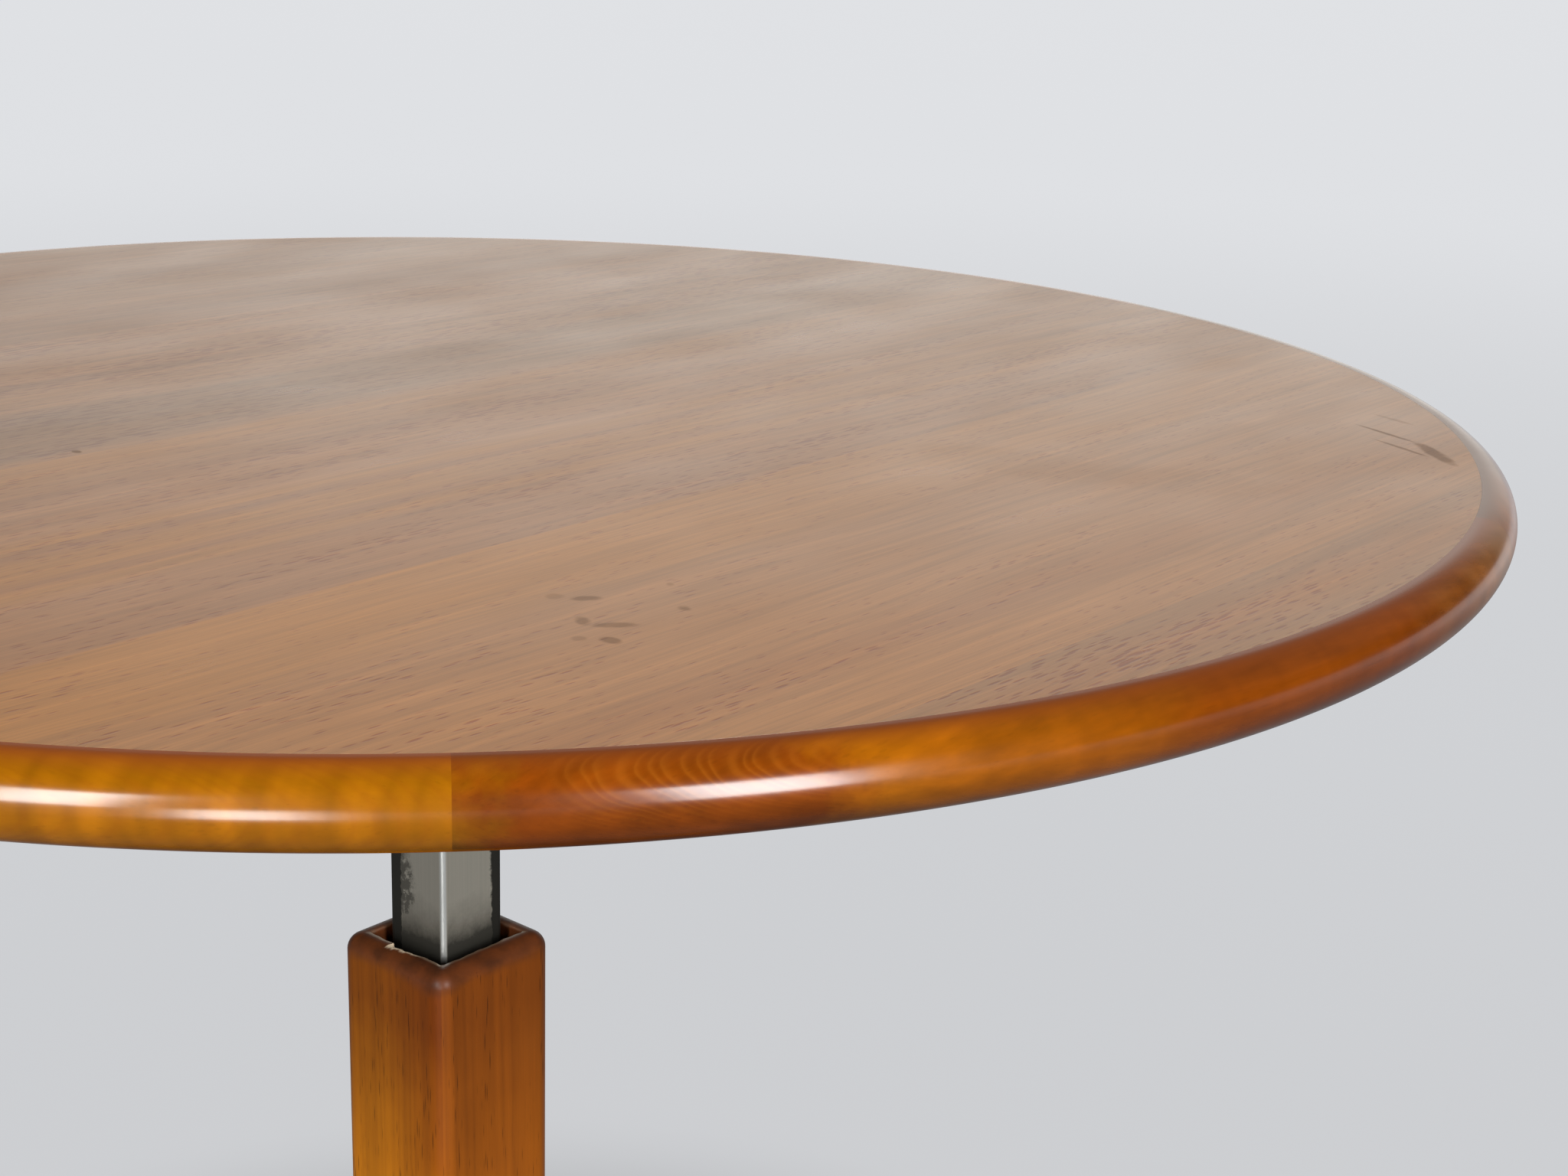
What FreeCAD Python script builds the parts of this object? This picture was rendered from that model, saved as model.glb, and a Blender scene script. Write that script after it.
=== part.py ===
import FreeCAD, Part
import os
import re

import Sketcher

# A round teak table on a square pedestal. The top stands on a square steel post that telescopes into a
# timber column and is held at any height by a locking gas spring, which a lever under the top releases.
# Origin on the floor under the middle of the top, +Z up, +X along the grain of the face veneer.

# Driving dimensions in millimetres.
SIZES = {
    # Travel of the top, and how the telescope stacks up from the base plate
    "lift_travel": 220,
    "post_foot_gap": 10,
    "guide_overlap": 146,
    "sleeve_setback": 50.5,
    "mouth_clearance": 6,
    # Round top: core board, face leaves, backing veneer and solid lipping
    "top_diameter": 980,
    "top_thickness": 28,
    "veneer_thickness": 0.8,
    "lipping_width": 16,
    "front_leaf_width": 49,
    "back_leaf_width": 39,
    # Steel plate under the top and the wood screws that hold it
    "mount_plate_side": 260,
    "mount_plate_thickness": 5,
    "mount_plate_corner": 20,
    "mount_screw_inset": 20,
    "mount_screw_length": 22,
    "screw_radius": 2.5,
    "screw_head_radius": 5,
    "screw_head_height": 3,
    # Inner post, its nylon shoe and the shoe's pins
    "post_side": 40,
    "post_wall": 2.5,
    "post_corner": 3,
    "shoe_flange_height": 20,
    "shoe_plug_height": 30,
    "shoe_pin_radius": 2,
    # Outer sleeve and the nylon bush in its mouth
    "guide_gap": 2.5,
    "sleeve_wall": 2.5,
    "sleeve_corner": 3,
    "bush_flange_height": 4,
    "bush_skirt_height": 30,
    # Timber column of four mitred staves round the sleeve
    "column_wall": 11,
    "column_lip_round": 8.5,
    "column_corner_ease": 1,
    "packing_thickness": 2,
    "packing_width": 20,
    # Feet, glides and nails
    "foot_reach": 350,
    "foot_width": 44,
    "foot_root_height": 62,
    "foot_tip_height": 26,
    "foot_arch": 20,
    "foot_edge_round": 8,
    "glide_height": 4,
    "glide_radius": 12.5,
    "glide_margin": 7.5,
    "glide_edge": 1.5,
    "nail_radius": 1.25,
    "nail_head_radius": 3,
    "nail_head_height": 1.2,
    "nail_recess": 2,
    "nail_length": 18,
    # Base plate, its screws and the dowels between feet and column
    "base_plate_thickness": 6,
    "base_plate_reach": 82,
    "base_plate_margin": 3,
    "base_screw_length": 24,
    "dowel_radius": 5,
    "dowel_reach": 26,
    # Locking gas spring: cylinder in the post, rod on the base plate
    "collar_wall": 3.5,
    "collar_length": 20,
    "collar_screw_radius": 2,
    "collar_screw_head_radius": 4,
    "collar_screw_head_height": 2.5,
    "cylinder_wall": 2,
    "cylinder_cap": 6,
    "cylinder_spare": 44,
    "seal_length": 16,
    "seal_gap": 2,
    "rod_radius": 5,
    "rod_end": 2,
    "piston_length": 12,
    "nut_corner_radius": 9,
    "nut_height": 6,
    "washer_radius": 10,
    "washer_thickness": 2,
    "valve_pin_radius": 2.5,
    "valve_pin_stand": 11,
    "valve_pin_depth": 8,
    # Release lever, its bracket, pivot pin and grip
    "lever_width": 5,
    "lever_height": 14,
    "lever_headroom": 3.5,
    "lever_side_gap": 0.5,
    "lever_play": 0.5,
    "lever_tail": 8,
    "lever_reach": 325,
    "crank_setback": 18,
    "crank_run": 50,
    "crank_drop": 26,
    "crank_bend": 10,
    "slot_side_gap": 1,
    "slot_room": 3.5,
    "bracket_gap": 2,
    "bracket_length": 20,
    "bracket_thickness": 3,
    "ear_drop": 7,
    "pivot_radius": 3,
    "pivot_head_radius": 5,
    "pivot_head_height": 2,
    "pivot_end": 2.5,
    "clip_radius": 5,
    "clip_thickness": 1,
    "grip_wall": 4,
    "grip_cover": 60,
    "grip_end": 10,
    "grip_round": 5,
    # Clearances, and how far a cutting solid runs past what it cuts
    "slide_clearance": 0.3,
    "fit_clearance": 0.1,
    "hinge_clearance": 0.05,
    "hole_end_gap": 1,
    "cut_overrun": 5,
}

# Counts and turns in degrees
WHOLE_LEAVES = 4
LIPPING_PIECES = 6
NUT_SIDES = 6
LIPPING_JOINT_ANGLE = 48.5
FULL_TURN = 360
SIDES = {"right": 0, "back": 90, "left": 180, "front": 270}
MITRE_ANGLE = 45

# Shares of the sizes that they follow
FOOT_NOSE_SHARE = 0.4
LIP_LIMIT_SHARE = 0.9
DOWEL_BITE_SHARE = 0.7
DOWEL_HEIGHT_SHARES = (0.5, 0.78)
BASE_SCREW_SHARES = (0.25, 0.75)

# Sections, worked out from the post outwards
POST_INSIDE = "(post_side - 2 * post_wall)"
SLEEVE_INSIDE = "(post_side + 2 * guide_gap)"
SLEEVE_SIDE = f"({SLEEVE_INSIDE} + 2 * sleeve_wall)"
COLUMN_HOLE = f"({SLEEVE_SIDE} + 2 * packing_thickness)"
COLUMN_SIDE = f"({COLUMN_HOLE} + 2 * column_wall)"
COLUMN_FACE = f"({COLUMN_SIDE} / 2)"
LIP_ROUND = f"min(column_lip_round; {LIP_LIMIT_SHARE} * column_wall)"
CORE_RADIUS = "(top_diameter / 2 - lipping_width)"
LEAF_WIDTH = f"((2 * {CORE_RADIUS} - front_leaf_width - back_leaf_width) / {WHOLE_LEAVES})"
RIM_RADIUS = "(top_thickness / 2)"
PLATE_ARM_END = f"({COLUMN_FACE} + base_plate_reach)"
PAD_LENGTH = "(2 * (glide_radius + glide_margin))"
GLIDE_PLACE = f"(foot_reach - {PAD_LENGTH} / 2)"
CYLINDER_RADIUS = f"({POST_INSIDE} / 2 - collar_wall)"
BORE_RADIUS = f"({CYLINDER_RADIUS} - cylinder_wall)"
CYLINDER_ENDS = "(piston_length + cylinder_cap + seal_length + seal_gap + cylinder_spare)"
CYLINDER_LENGTH = f"(lift_travel + {CYLINDER_ENDS})"

# Heights, worked out from the floor upwards with the table raised
PLATE_TOP = "(glide_height + foot_arch)"
PLATE_UNDERSIDE = f"({PLATE_TOP} - base_plate_thickness)"
SHOE_BOTTOM = f"({PLATE_TOP} + post_foot_gap + lift_travel)"
POST_BOTTOM = f"({SHOE_BOTTOM} + shoe_flange_height)"
SLEEVE_TOP = f"({SHOE_BOTTOM} + guide_overlap)"
COLUMN_TOP = f"({SLEEVE_TOP} + sleeve_setback)"
LEVER_UNDERSIDE = f"({COLUMN_TOP} + mouth_clearance + lift_travel)"
LEVER_TOP = f"({LEVER_UNDERSIDE} + lever_height)"
PIVOT_HEIGHT = f"({LEVER_UNDERSIDE} + lever_height / 2)"
MOUNT_UNDERSIDE = f"({LEVER_TOP} + lever_headroom + bracket_thickness)"
TOP_UNDERSIDE = f"({MOUNT_UNDERSIDE} + mount_plate_thickness)"
FACE_BACK = f"({TOP_UNDERSIDE} + top_thickness - veneer_thickness)"
FACE = f"({TOP_UNDERSIDE} + top_thickness)"
CYLINDER_TOP = f"({LEVER_UNDERSIDE} - lever_play - valve_pin_stand)"
CYLINDER_BOTTOM = f"({CYLINDER_TOP} - {CYLINDER_LENGTH})"
PISTON_BOTTOM = f"({CYLINDER_BOTTOM} + seal_length + seal_gap)"

# Lever stations along X
BRACKET_START = "(post_side / 2 + bracket_gap)"
PIVOT_PLACE = f"({BRACKET_START} + bracket_length / 2)"
CRANK_START = f"({BRACKET_START} + bracket_length + crank_setback)"
CRANK_END = f"({CRANK_START} + crank_run)"
EAR_GAP = "(lever_width + 2 * lever_side_gap)"
BRACKET_WIDTH = f"({EAR_GAP} + 2 * bracket_thickness)"

# Shorthand for the sketcher: the sketch's own origin, and which end of a line is meant
ORIGIN_INDEX = -1
START_INDEX = 1
END_INDEX = 2
CENTRE_INDEX = 3
NEAR = 1e-3

UPRIGHT = FreeCAD.Rotation()
Z_AXIS = FreeCAD.Vector(0, 0, 1)
ALONG_X = FreeCAD.Rotation(FreeCAD.Vector(0, 1, 0), 90)
ALONG_Y = FreeCAD.Rotation(FreeCAD.Vector(1, 0, 0), -90)
AGAINST_Y = FreeCAD.Rotation(FreeCAD.Vector(1, 0, 0), 90)
PLACE_PATHS = {"x": "Placement.Base.x", "y": "Placement.Base.y", "z": "Placement.Base.z"}

doc = FreeCAD.newDocument("PedestalTable")
sheet = doc.addObject("Spreadsheet::Sheet", "Sizes")
nodes = []


def fill_sheet():
    """Write each driving dimension into the sheet under its own alias."""
    for row, (alias, size) in enumerate(SIZES.items(), start=1):
        sheet.set(f"A{row}", alias)
        sheet.set(f"B{row}", str(size))
        sheet.setAlias(f"B{row}", alias)
    doc.recompute()


def in_sheet(formula):
    """The formula with the sheet's name in front of each of its aliases."""
    return re.sub(r"[a-z]+(?:_[a-z]+)+", r"Sizes.\g<0>", formula)


def number(formula):
    """What a formula in the sheet's aliases comes to."""
    return float(sheet.evalExpression(in_sheet(formula)))


def bind(thing, **formulas):
    """Tie an object's properties to formulas; x, y and z stand for its place."""
    for name, formula in formulas.items():
        thing.setExpression(PLACE_PATHS.get(name, name), in_sheet(formula))
    return thing


def node(piece, label):
    """Keep a finished sub-part under its own label."""
    piece.Label = label
    nodes.append(piece)
    return piece


# Primitives and booleans


def cylinder(name, radius, height, x="0", y="0", z="0", turn=UPRIGHT):
    """Round bar whose first end is centred on x, y, z."""
    bar = doc.addObject("Part::Cylinder", name)
    bar.Placement = FreeCAD.Placement(FreeCAD.Vector(), turn)
    return bind(bar, Radius=radius, Height=height, x=x, y=y, z=z)


def block(name, length, width, height, x="0", y="0", z="0"):
    """Box centred on x and y that stands on z."""
    box = doc.addObject("Part::Box", name)
    centred_x = f"{x} - ({length}) / 2"
    centred_y = f"{y} - ({width}) / 2"
    return bind(box, Length=length, Width=width, Height=height, x=centred_x, y=centred_y, z=z)


def group(name, pieces, angle=0):
    """Separate solids kept together, turned about Z."""
    compound = doc.addObject("Part::Compound", name)
    compound.Links = list(pieces)
    compound.Placement = FreeCAD.Placement(FreeCAD.Vector(), FreeCAD.Rotation(Z_AXIS, angle))
    return compound


def fuse(name, *pieces):
    """One solid out of touching pieces."""
    union = doc.addObject("Part::MultiFuse", name)
    union.Shapes = list(pieces)
    union.Refine = True
    return union


def cut(name, base, *tools):
    """The base less the tools."""
    remainder = doc.addObject("Part::Cut", name)
    remainder.Base = base
    remainder.Tool = group(f"{name}_tools", tools)
    return remainder


def common(name, first, second):
    """What two solids share."""
    shared = doc.addObject("Part::Common", name)
    shared.Base = first
    shared.Tool = second
    return shared


def stud(name, radius, length, head_radius, head_height, turn=UPRIGHT, **place):
    """Headed fastener: the shank starts at its place and the head lies behind it."""
    shank = cylinder(f"{name}_shank", radius, length)
    head = cylinder(f"{name}_head", head_radius, head_height, z=f"-({head_height})")
    fastener = fuse(name, shank, head)
    fastener.Placement = FreeCAD.Placement(FreeCAD.Vector(), turn)
    return bind(fastener, **place)


def around(name, make):
    """What make(name) gives, turned to each of the four sides."""
    quarters = [group(f"{name}_{side}", make(f"{name}_{side}"), turn) for side, turn in SIDES.items()]
    return group(name, quarters)


# Sketches and bodies


def sketch_on(body, name, role, offset="0"):
    """Sketch on one of the body's own origin planes, moved along the plane's normal."""
    sketch = body.newObject("Sketcher::SketchObject", name)
    plane = next(feature for feature in body.Origin.OriginFeatures if feature.Role == role)
    sketch.AttachmentSupport = [(plane, "")]
    sketch.MapMode = "FlatFace"
    sketch.setExpression("AttachmentOffset.Base.z", in_sheet(offset))
    return sketch


def tie(sketch, kind, line, point, formula):
    """Hold a point's distance from the sketch's origin to a formula."""
    rule = Sketcher.Constraint(kind, ORIGIN_INDEX, START_INDEX, line, point, number(formula))
    index = sketch.addConstraint(rule)
    name = f"{kind}_{index}"
    sketch.renameConstraint(index, name)
    sketch.setExpression(f"Constraints.{name}", in_sheet(formula))


def corner_vector(corner):
    """Where a corner given as two formulas lies in its sketch."""
    return FreeCAD.Vector(number(corner[0]), number(corner[1]), 0)


def draw(sketch, corners):
    """Closed outline of straight lines with each corner tied to its two formulas."""
    first = sketch.GeometryCount
    places = [corner_vector(corner) for corner in corners]
    for start, end in zip(places, places[1:] + places[:1]):
        sketch.addGeometry(Part.LineSegment(start, end), False)
    for index, (x, y) in enumerate(corners):
        line = first + index
        following = first + (index + 1) % len(corners)
        sketch.addConstraint(Sketcher.Constraint("Coincident", line, END_INDEX, following, START_INDEX))
        tie(sketch, "DistanceX", line, START_INDEX, x)
        tie(sketch, "DistanceY", line, START_INDEX, y)


def square(side):
    """Corners of a square about the origin."""
    half = f"({side}) / 2"
    return [(f"-{half}", f"-{half}"), (half, f"-{half}"), (half, half), (f"-{half}", half)]


def extruded(name, role, outlines, depth, offset="0", side_type="One side"):
    """Body padded from outlines on an origin plane; a second outline is a hole."""
    body = doc.addObject("PartDesign::Body", name)
    sketch = sketch_on(body, f"{name}_sketch", role, offset)
    for outline in outlines:
        draw(sketch, outline)
    pad = body.newObject("PartDesign::Pad", f"{name}_pad")
    pad.Profile = sketch
    pad.SideType = side_type
    bind(pad, Length=depth)
    doc.recompute()
    return body


def round_edges(body, name, radius, chosen):
    """Fillet the edges of the body's last feature that chosen(edge) picks."""
    base = body.Tip
    picked = [f"Edge{index}" for index, edge in enumerate(base.Shape.Edges, start=1) if chosen(edge)]
    fillet = body.newObject("PartDesign::Fillet", name)
    fillet.Base = (base, picked)
    bind(fillet, Radius=radius)
    doc.recompute()
    return fillet


def is_upright(edge):
    """Whether an edge runs straight up."""
    box = edge.BoundBox
    return box.XLength < NEAR and box.YLength < NEAR


def outer_upright(side):
    """Picks the upright edges at the outer corners of a square section."""
    reach = number(side) / 2
    return lambda edge: is_upright(edge) and abs(abs(edge.BoundBox.Center.x) - reach) < NEAR


def square_tube(name, side, inside, bottom, top, corner):
    """Square tube with rounded outer corners between two heights."""
    tube = extruded(name, "XY_Plane", [square(side), square(inside)], f"{top} - {bottom}", bottom)
    round_edges(tube, f"{name}_corners", corner, outer_upright(side))
    return tube


# Top


def mount_spots():
    """Places of the plate's screws: its corners and the middles of its sides."""
    reach = "(mount_plate_side / 2 - mount_screw_inset)"
    steps = (-1, 0, 1)
    return [(f"{i} * {reach}", f"{j} * {reach}") for i in steps for j in steps if i or j]


def mount_screws():
    """Pan-head wood screws up through the plate into the core."""
    screws = [
        stud(
            f"mount_screw_{index}",
            "screw_radius",
            "mount_screw_length",
            "screw_head_radius",
            "screw_head_height",
            x=x,
            y=y,
            z=MOUNT_UNDERSIDE,
        )
        for index, (x, y) in enumerate(mount_spots(), start=1)
    ]
    return node(group("mounting_plate_screws", screws), "mounting_plate_screws")


def mount_drills():
    """Holes for those screws."""
    drills = [
        cylinder(
            f"mount_drill_{index}",
            "screw_radius + fit_clearance",
            "mount_screw_length + cut_overrun + hole_end_gap",
            x,
            y,
            f"{MOUNT_UNDERSIDE} - cut_overrun",
        )
        for index, (x, y) in enumerate(mount_spots(), start=1)
    ]
    return group("mount_drills", drills)


def top_core(drills):
    """Particle-board disc between the veneers."""
    thickness = "top_thickness - 2 * veneer_thickness"
    disc = cylinder("core_disc", CORE_RADIUS, thickness, z=f"{TOP_UNDERSIDE} + veneer_thickness")
    return node(cut("top_core", disc, drills), "top_core")


def backing_veneer(drills):
    """Balancing veneer under the core."""
    disc = cylinder("backing_disc", CORE_RADIUS, "veneer_thickness", z=TOP_UNDERSIDE)
    return node(cut("backing_veneer", disc, drills), "backing_veneer")


def face_leaves():
    """Teak leaves side by side along X: whole leaves between two narrow ones at the edges."""
    first_joint = f"(front_leaf_width - {CORE_RADIUS})"
    joints = [f"({first_joint} + {index} * {LEAF_WIDTH})" for index in range(WHOLE_LEAVES + 1)]
    edges = [f"(-{CORE_RADIUS} - cut_overrun)", *joints, f"({CORE_RADIUS} + cut_overrun)"]
    for index, (start, end) in enumerate(zip(edges, edges[1:]), start=1):
        disc = cylinder(f"leaf_disc_{index}", CORE_RADIUS, "veneer_thickness", z=FACE_BACK)
        size = ("top_diameter", f"{end} - {start}", "veneer_thickness")
        strip = block(f"leaf_strip_{index}", *size, y=f"({start} + {end}) / 2", z=FACE_BACK)
        node(common(f"face_leaf_{index}", disc, strip), f"face_leaf_{index}")


def lipping_profile(body, name):
    """Section of the lipping: flat inside against the core, full round outside."""
    sketch = sketch_on(body, name, "XZ_Plane")
    round_start = f"(top_diameter / 2 - {RIM_RADIUS})"
    corners = [
        (round_start, FACE),
        (CORE_RADIUS, FACE),
        (CORE_RADIUS, TOP_UNDERSIDE),
        (round_start, TOP_UNDERSIDE),
    ]
    places = [corner_vector(corner) for corner in corners]
    for start, end in zip(places, places[1:]):
        sketch.addGeometry(Part.LineSegment(start, end), False)
    nose = corner_vector(("top_diameter / 2", f"{TOP_UNDERSIDE} + {RIM_RADIUS}"))
    arc = sketch.addGeometry(Part.Arc(places[-1], nose, places[0]), False)
    for line, (x, y) in enumerate(corners[:-1]):
        tie(sketch, "DistanceX", line, START_INDEX, x)
        tie(sketch, "DistanceY", line, START_INDEX, y)
    last = arc - 1
    tie(sketch, "DistanceX", last, END_INDEX, corners[-1][0])
    tie(sketch, "DistanceY", last, END_INDEX, corners[-1][1])
    for line in range(last):
        sketch.addConstraint(Sketcher.Constraint("Coincident", line, END_INDEX, line + 1, START_INDEX))
    sketch.addConstraint(Sketcher.Constraint("Coincident", last, END_INDEX, arc, START_INDEX))
    sketch.addConstraint(Sketcher.Constraint("Coincident", arc, END_INDEX, 0, START_INDEX))
    tie(sketch, "DistanceX", arc, CENTRE_INDEX, round_start)
    return sketch


def lipping():
    """Solid teak segments glued end to end round the core."""
    sweep = FULL_TURN / LIPPING_PIECES
    for index in range(LIPPING_PIECES):
        name = f"lipping_{index + 1}"
        body = doc.addObject("PartDesign::Body", name)
        sketch = lipping_profile(body, f"{name}_section")
        revolution = body.newObject("PartDesign::Revolution", f"{name}_turn")
        revolution.Profile = sketch
        revolution.ReferenceAxis = (sketch, ["V_Axis"])
        revolution.Angle = sweep
        turn = FreeCAD.Rotation(Z_AXIS, LIPPING_JOINT_ANGLE + index * sweep)
        body.Placement = FreeCAD.Placement(FreeCAD.Vector(), turn)
        node(body, name)


def mounting_plate(drills):
    """Steel plate welded to the head of the post."""
    outline = square("mount_plate_side")
    body = extruded("mount_plate_blank", "XY_Plane", [outline], "mount_plate_thickness", MOUNT_UNDERSIDE)
    round_edges(body, "mount_plate_corners", "mount_plate_corner", is_upright)
    return node(cut("mounting_plate", body, drills), "mounting_plate")


# Inner post and what it carries


def across_post(name, radius, length, height, start):
    """Bars across Y into the post from both sides, starting at a distance from its axis."""
    return [
        cylinder(f"{name}_back", radius, length, y=start, z=height, turn=AGAINST_Y),
        cylinder(f"{name}_front", radius, length, y=f"-({start})", z=height, turn=ALONG_Y),
    ]


SHOE_PIN_HEIGHT = f"({POST_BOTTOM} + shoe_plug_height / 2)"
COLLAR_SCREW_HEIGHT = f"({CYLINDER_TOP} - collar_length / 2)"


def post_drills():
    """Holes across the post for the shoe's pins and the collar's screws."""
    start = "post_side / 2 + cut_overrun"
    length = "cut_overrun + post_wall + collar_wall + cylinder_wall"
    pin_hole = "shoe_pin_radius + fit_clearance"
    screw_hole = "collar_screw_radius + fit_clearance"
    pins = across_post("shoe_drill", pin_hole, length, SHOE_PIN_HEIGHT, start)
    screws = across_post("collar_drill", screw_hole, length, COLLAR_SCREW_HEIGHT, start)
    return group("post_drills", pins + screws)


def inner_post(drills):
    """Square steel tube that slides in the column, slotted at its head for the lever."""
    ends = (POST_BOTTOM, MOUNT_UNDERSIDE)
    tube = square_tube("post_tube", "post_side", POST_INSIDE, *ends, "post_corner")
    slot = block(
        "lever_slot",
        "post_wall + 2 * cut_overrun",
        "lever_width + 2 * slot_side_gap",
        f"{MOUNT_UNDERSIDE} - {LEVER_UNDERSIDE} + slot_room + cut_overrun",
        x="post_side / 2 - post_wall / 2",
        z=f"{LEVER_UNDERSIDE} - slot_room",
    )
    return node(cut("inner_post", tube, slot, drills), "inner_post")


def post_shoe(drills):
    """Nylon shoe on the foot of the post, bored to pass the gas spring."""
    flange_side = f"{SLEEVE_INSIDE} - 2 * slide_clearance"
    plug_side = f"{POST_INSIDE} - 2 * fit_clearance"
    flange = block("shoe_flange", flange_side, flange_side, "shoe_flange_height", z=SHOE_BOTTOM)
    plug = block("shoe_plug", plug_side, plug_side, "shoe_plug_height", z=POST_BOTTOM)
    bore = cylinder(
        "shoe_bore",
        f"{CYLINDER_RADIUS} + slide_clearance",
        "shoe_flange_height + shoe_plug_height + 2 * cut_overrun",
        z=f"{SHOE_BOTTOM} - cut_overrun",
    )
    return node(cut("post_shoe", fuse("shoe_blank", flange, plug), bore, drills), "post_shoe")


def shoe_pins():
    """Pins flush with the post that hold the shoe."""
    length = "post_wall + collar_wall - slide_clearance - fit_clearance"
    pins = across_post("shoe_pin", "shoe_pin_radius", length, SHOE_PIN_HEIGHT, "post_side / 2")
    return node(group("shoe_pins", pins), "shoe_pins")


def gas_spring_cylinder():
    """Cylinder of the gas spring, closed at the top around the valve pin."""
    barrel = cylinder("cylinder_barrel", CYLINDER_RADIUS, CYLINDER_LENGTH, z=CYLINDER_BOTTOM)
    bore = cylinder(
        "cylinder_bore",
        BORE_RADIUS,
        f"{CYLINDER_LENGTH} - cylinder_cap + cut_overrun",
        z=f"{CYLINDER_BOTTOM} - cut_overrun",
    )
    pin_hole = cylinder(
        "valve_hole",
        "valve_pin_radius + slide_clearance",
        "cylinder_cap + 2 * cut_overrun",
        z=f"{CYLINDER_TOP} - cylinder_cap - cut_overrun",
    )
    return node(cut("gas_spring_cylinder", barrel, bore, pin_hole), "gas_spring_cylinder")


def gas_spring_seal():
    """Guide and seal that closes the cylinder round the rod."""
    disc = cylinder("seal_disc", f"{BORE_RADIUS} - fit_clearance", "seal_length", z=CYLINDER_BOTTOM)
    hole = cylinder(
        "seal_hole",
        "rod_radius + slide_clearance",
        "seal_length + 2 * cut_overrun",
        z=f"{CYLINDER_BOTTOM} - cut_overrun",
    )
    return node(cut("gas_spring_seal", disc, hole), "gas_spring_seal")


def cylinder_collar(drills):
    """Collar that centres the head of the cylinder in the post."""
    side = f"{POST_INSIDE} - 2 * fit_clearance"
    body = block("collar_block", side, side, "collar_length", z=f"{CYLINDER_TOP} - collar_length")
    bore = cylinder(
        "collar_bore",
        f"{CYLINDER_RADIUS} + fit_clearance",
        "collar_length + 2 * cut_overrun",
        z=f"{CYLINDER_TOP} - collar_length - cut_overrun",
    )
    return node(cut("cylinder_collar", body, bore, drills), "cylinder_collar")


def collar_screws():
    """Screws through the sides of the post into the collar."""
    length = "post_wall + collar_wall - 2 * fit_clearance"
    head = ("collar_screw_head_radius", "collar_screw_head_height")
    faces = {"back": (AGAINST_Y, "post_side / 2"), "front": (ALONG_Y, "-post_side / 2")}
    screws = [
        stud(
            f"collar_screw_{side}",
            "collar_screw_radius",
            length,
            *head,
            turn=turn,
            y=start,
            z=COLLAR_SCREW_HEIGHT,
        )
        for side, (turn, start) in faces.items()
    ]
    return node(group("collar_screws", screws), "collar_screws")


def release_pin():
    """Valve pin that stands out of the cylinder under the tail of the lever."""
    length = "valve_pin_stand + cylinder_cap + valve_pin_depth"
    bottom = f"{CYLINDER_TOP} - cylinder_cap - valve_pin_depth"
    pin = cylinder("release_pin", "valve_pin_radius", length, z=bottom)
    return node(pin, "release_pin")


# Release lever


def lever_bracket():
    """Folded bracket under the plate whose two ears carry the lever's pivot."""
    half = f"({BRACKET_WIDTH} / 2)"
    half_gap = f"({EAR_GAP} / 2)"
    low = f"({PIVOT_HEIGHT} - ear_drop)"
    web = f"({MOUNT_UNDERSIDE} - bracket_thickness)"
    outline = [
        (f"-{half}", low),
        (f"-{half_gap}", low),
        (f"-{half_gap}", web),
        (half_gap, web),
        (half_gap, low),
        (half, low),
        (half, MOUNT_UNDERSIDE),
        (f"-{half}", MOUNT_UNDERSIDE),
    ]
    body = extruded("bracket_blank", "YZ_Plane", [outline], "bracket_length", BRACKET_START)
    lowest = number(low)
    round_edges(body, "ear_corners", "pivot_radius", lambda edge: is_ear_corner(edge, lowest))
    hole = cylinder(
        "bracket_hole",
        "pivot_radius + hinge_clearance",
        f"{BRACKET_WIDTH} + 2 * cut_overrun",
        x=PIVOT_PLACE,
        y=f"-{half} - cut_overrun",
        z=PIVOT_HEIGHT,
        turn=ALONG_Y,
    )
    return node(cut("lever_bracket", body, hole), "lever_bracket")


def is_ear_corner(edge, lowest):
    """Whether an edge runs across an ear at its lower end."""
    box = edge.BoundBox
    return box.XLength < NEAR and box.ZLength < NEAR and abs(box.ZMin - lowest) < NEAR


def lever_pin():
    """Headed pivot pin through the ears and the lever."""
    length = f"{BRACKET_WIDTH} + pivot_end"
    pin = stud(
        "lever_pin",
        "pivot_radius",
        length,
        "pivot_head_radius",
        "pivot_head_height",
        turn=ALONG_Y,
        x=PIVOT_PLACE,
        y=f"-{BRACKET_WIDTH} / 2",
        z=PIVOT_HEIGHT,
    )
    return node(pin, "lever_pin")


def lever_pin_clip():
    """Clip that keeps the pin in the ears."""
    start = f"{BRACKET_WIDTH} / 2"
    place = {"x": PIVOT_PLACE, "z": PIVOT_HEIGHT, "turn": ALONG_Y}
    disc = cylinder("clip_disc", "clip_radius", "clip_thickness", y=start, **place)
    hole = cylinder(
        "clip_hole",
        "pivot_radius + hinge_clearance",
        "clip_thickness + 2 * cut_overrun",
        y=f"{start} - cut_overrun",
        **place,
    )
    return node(cut("lever_pin_clip", disc, hole), "lever_pin_clip")


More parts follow.
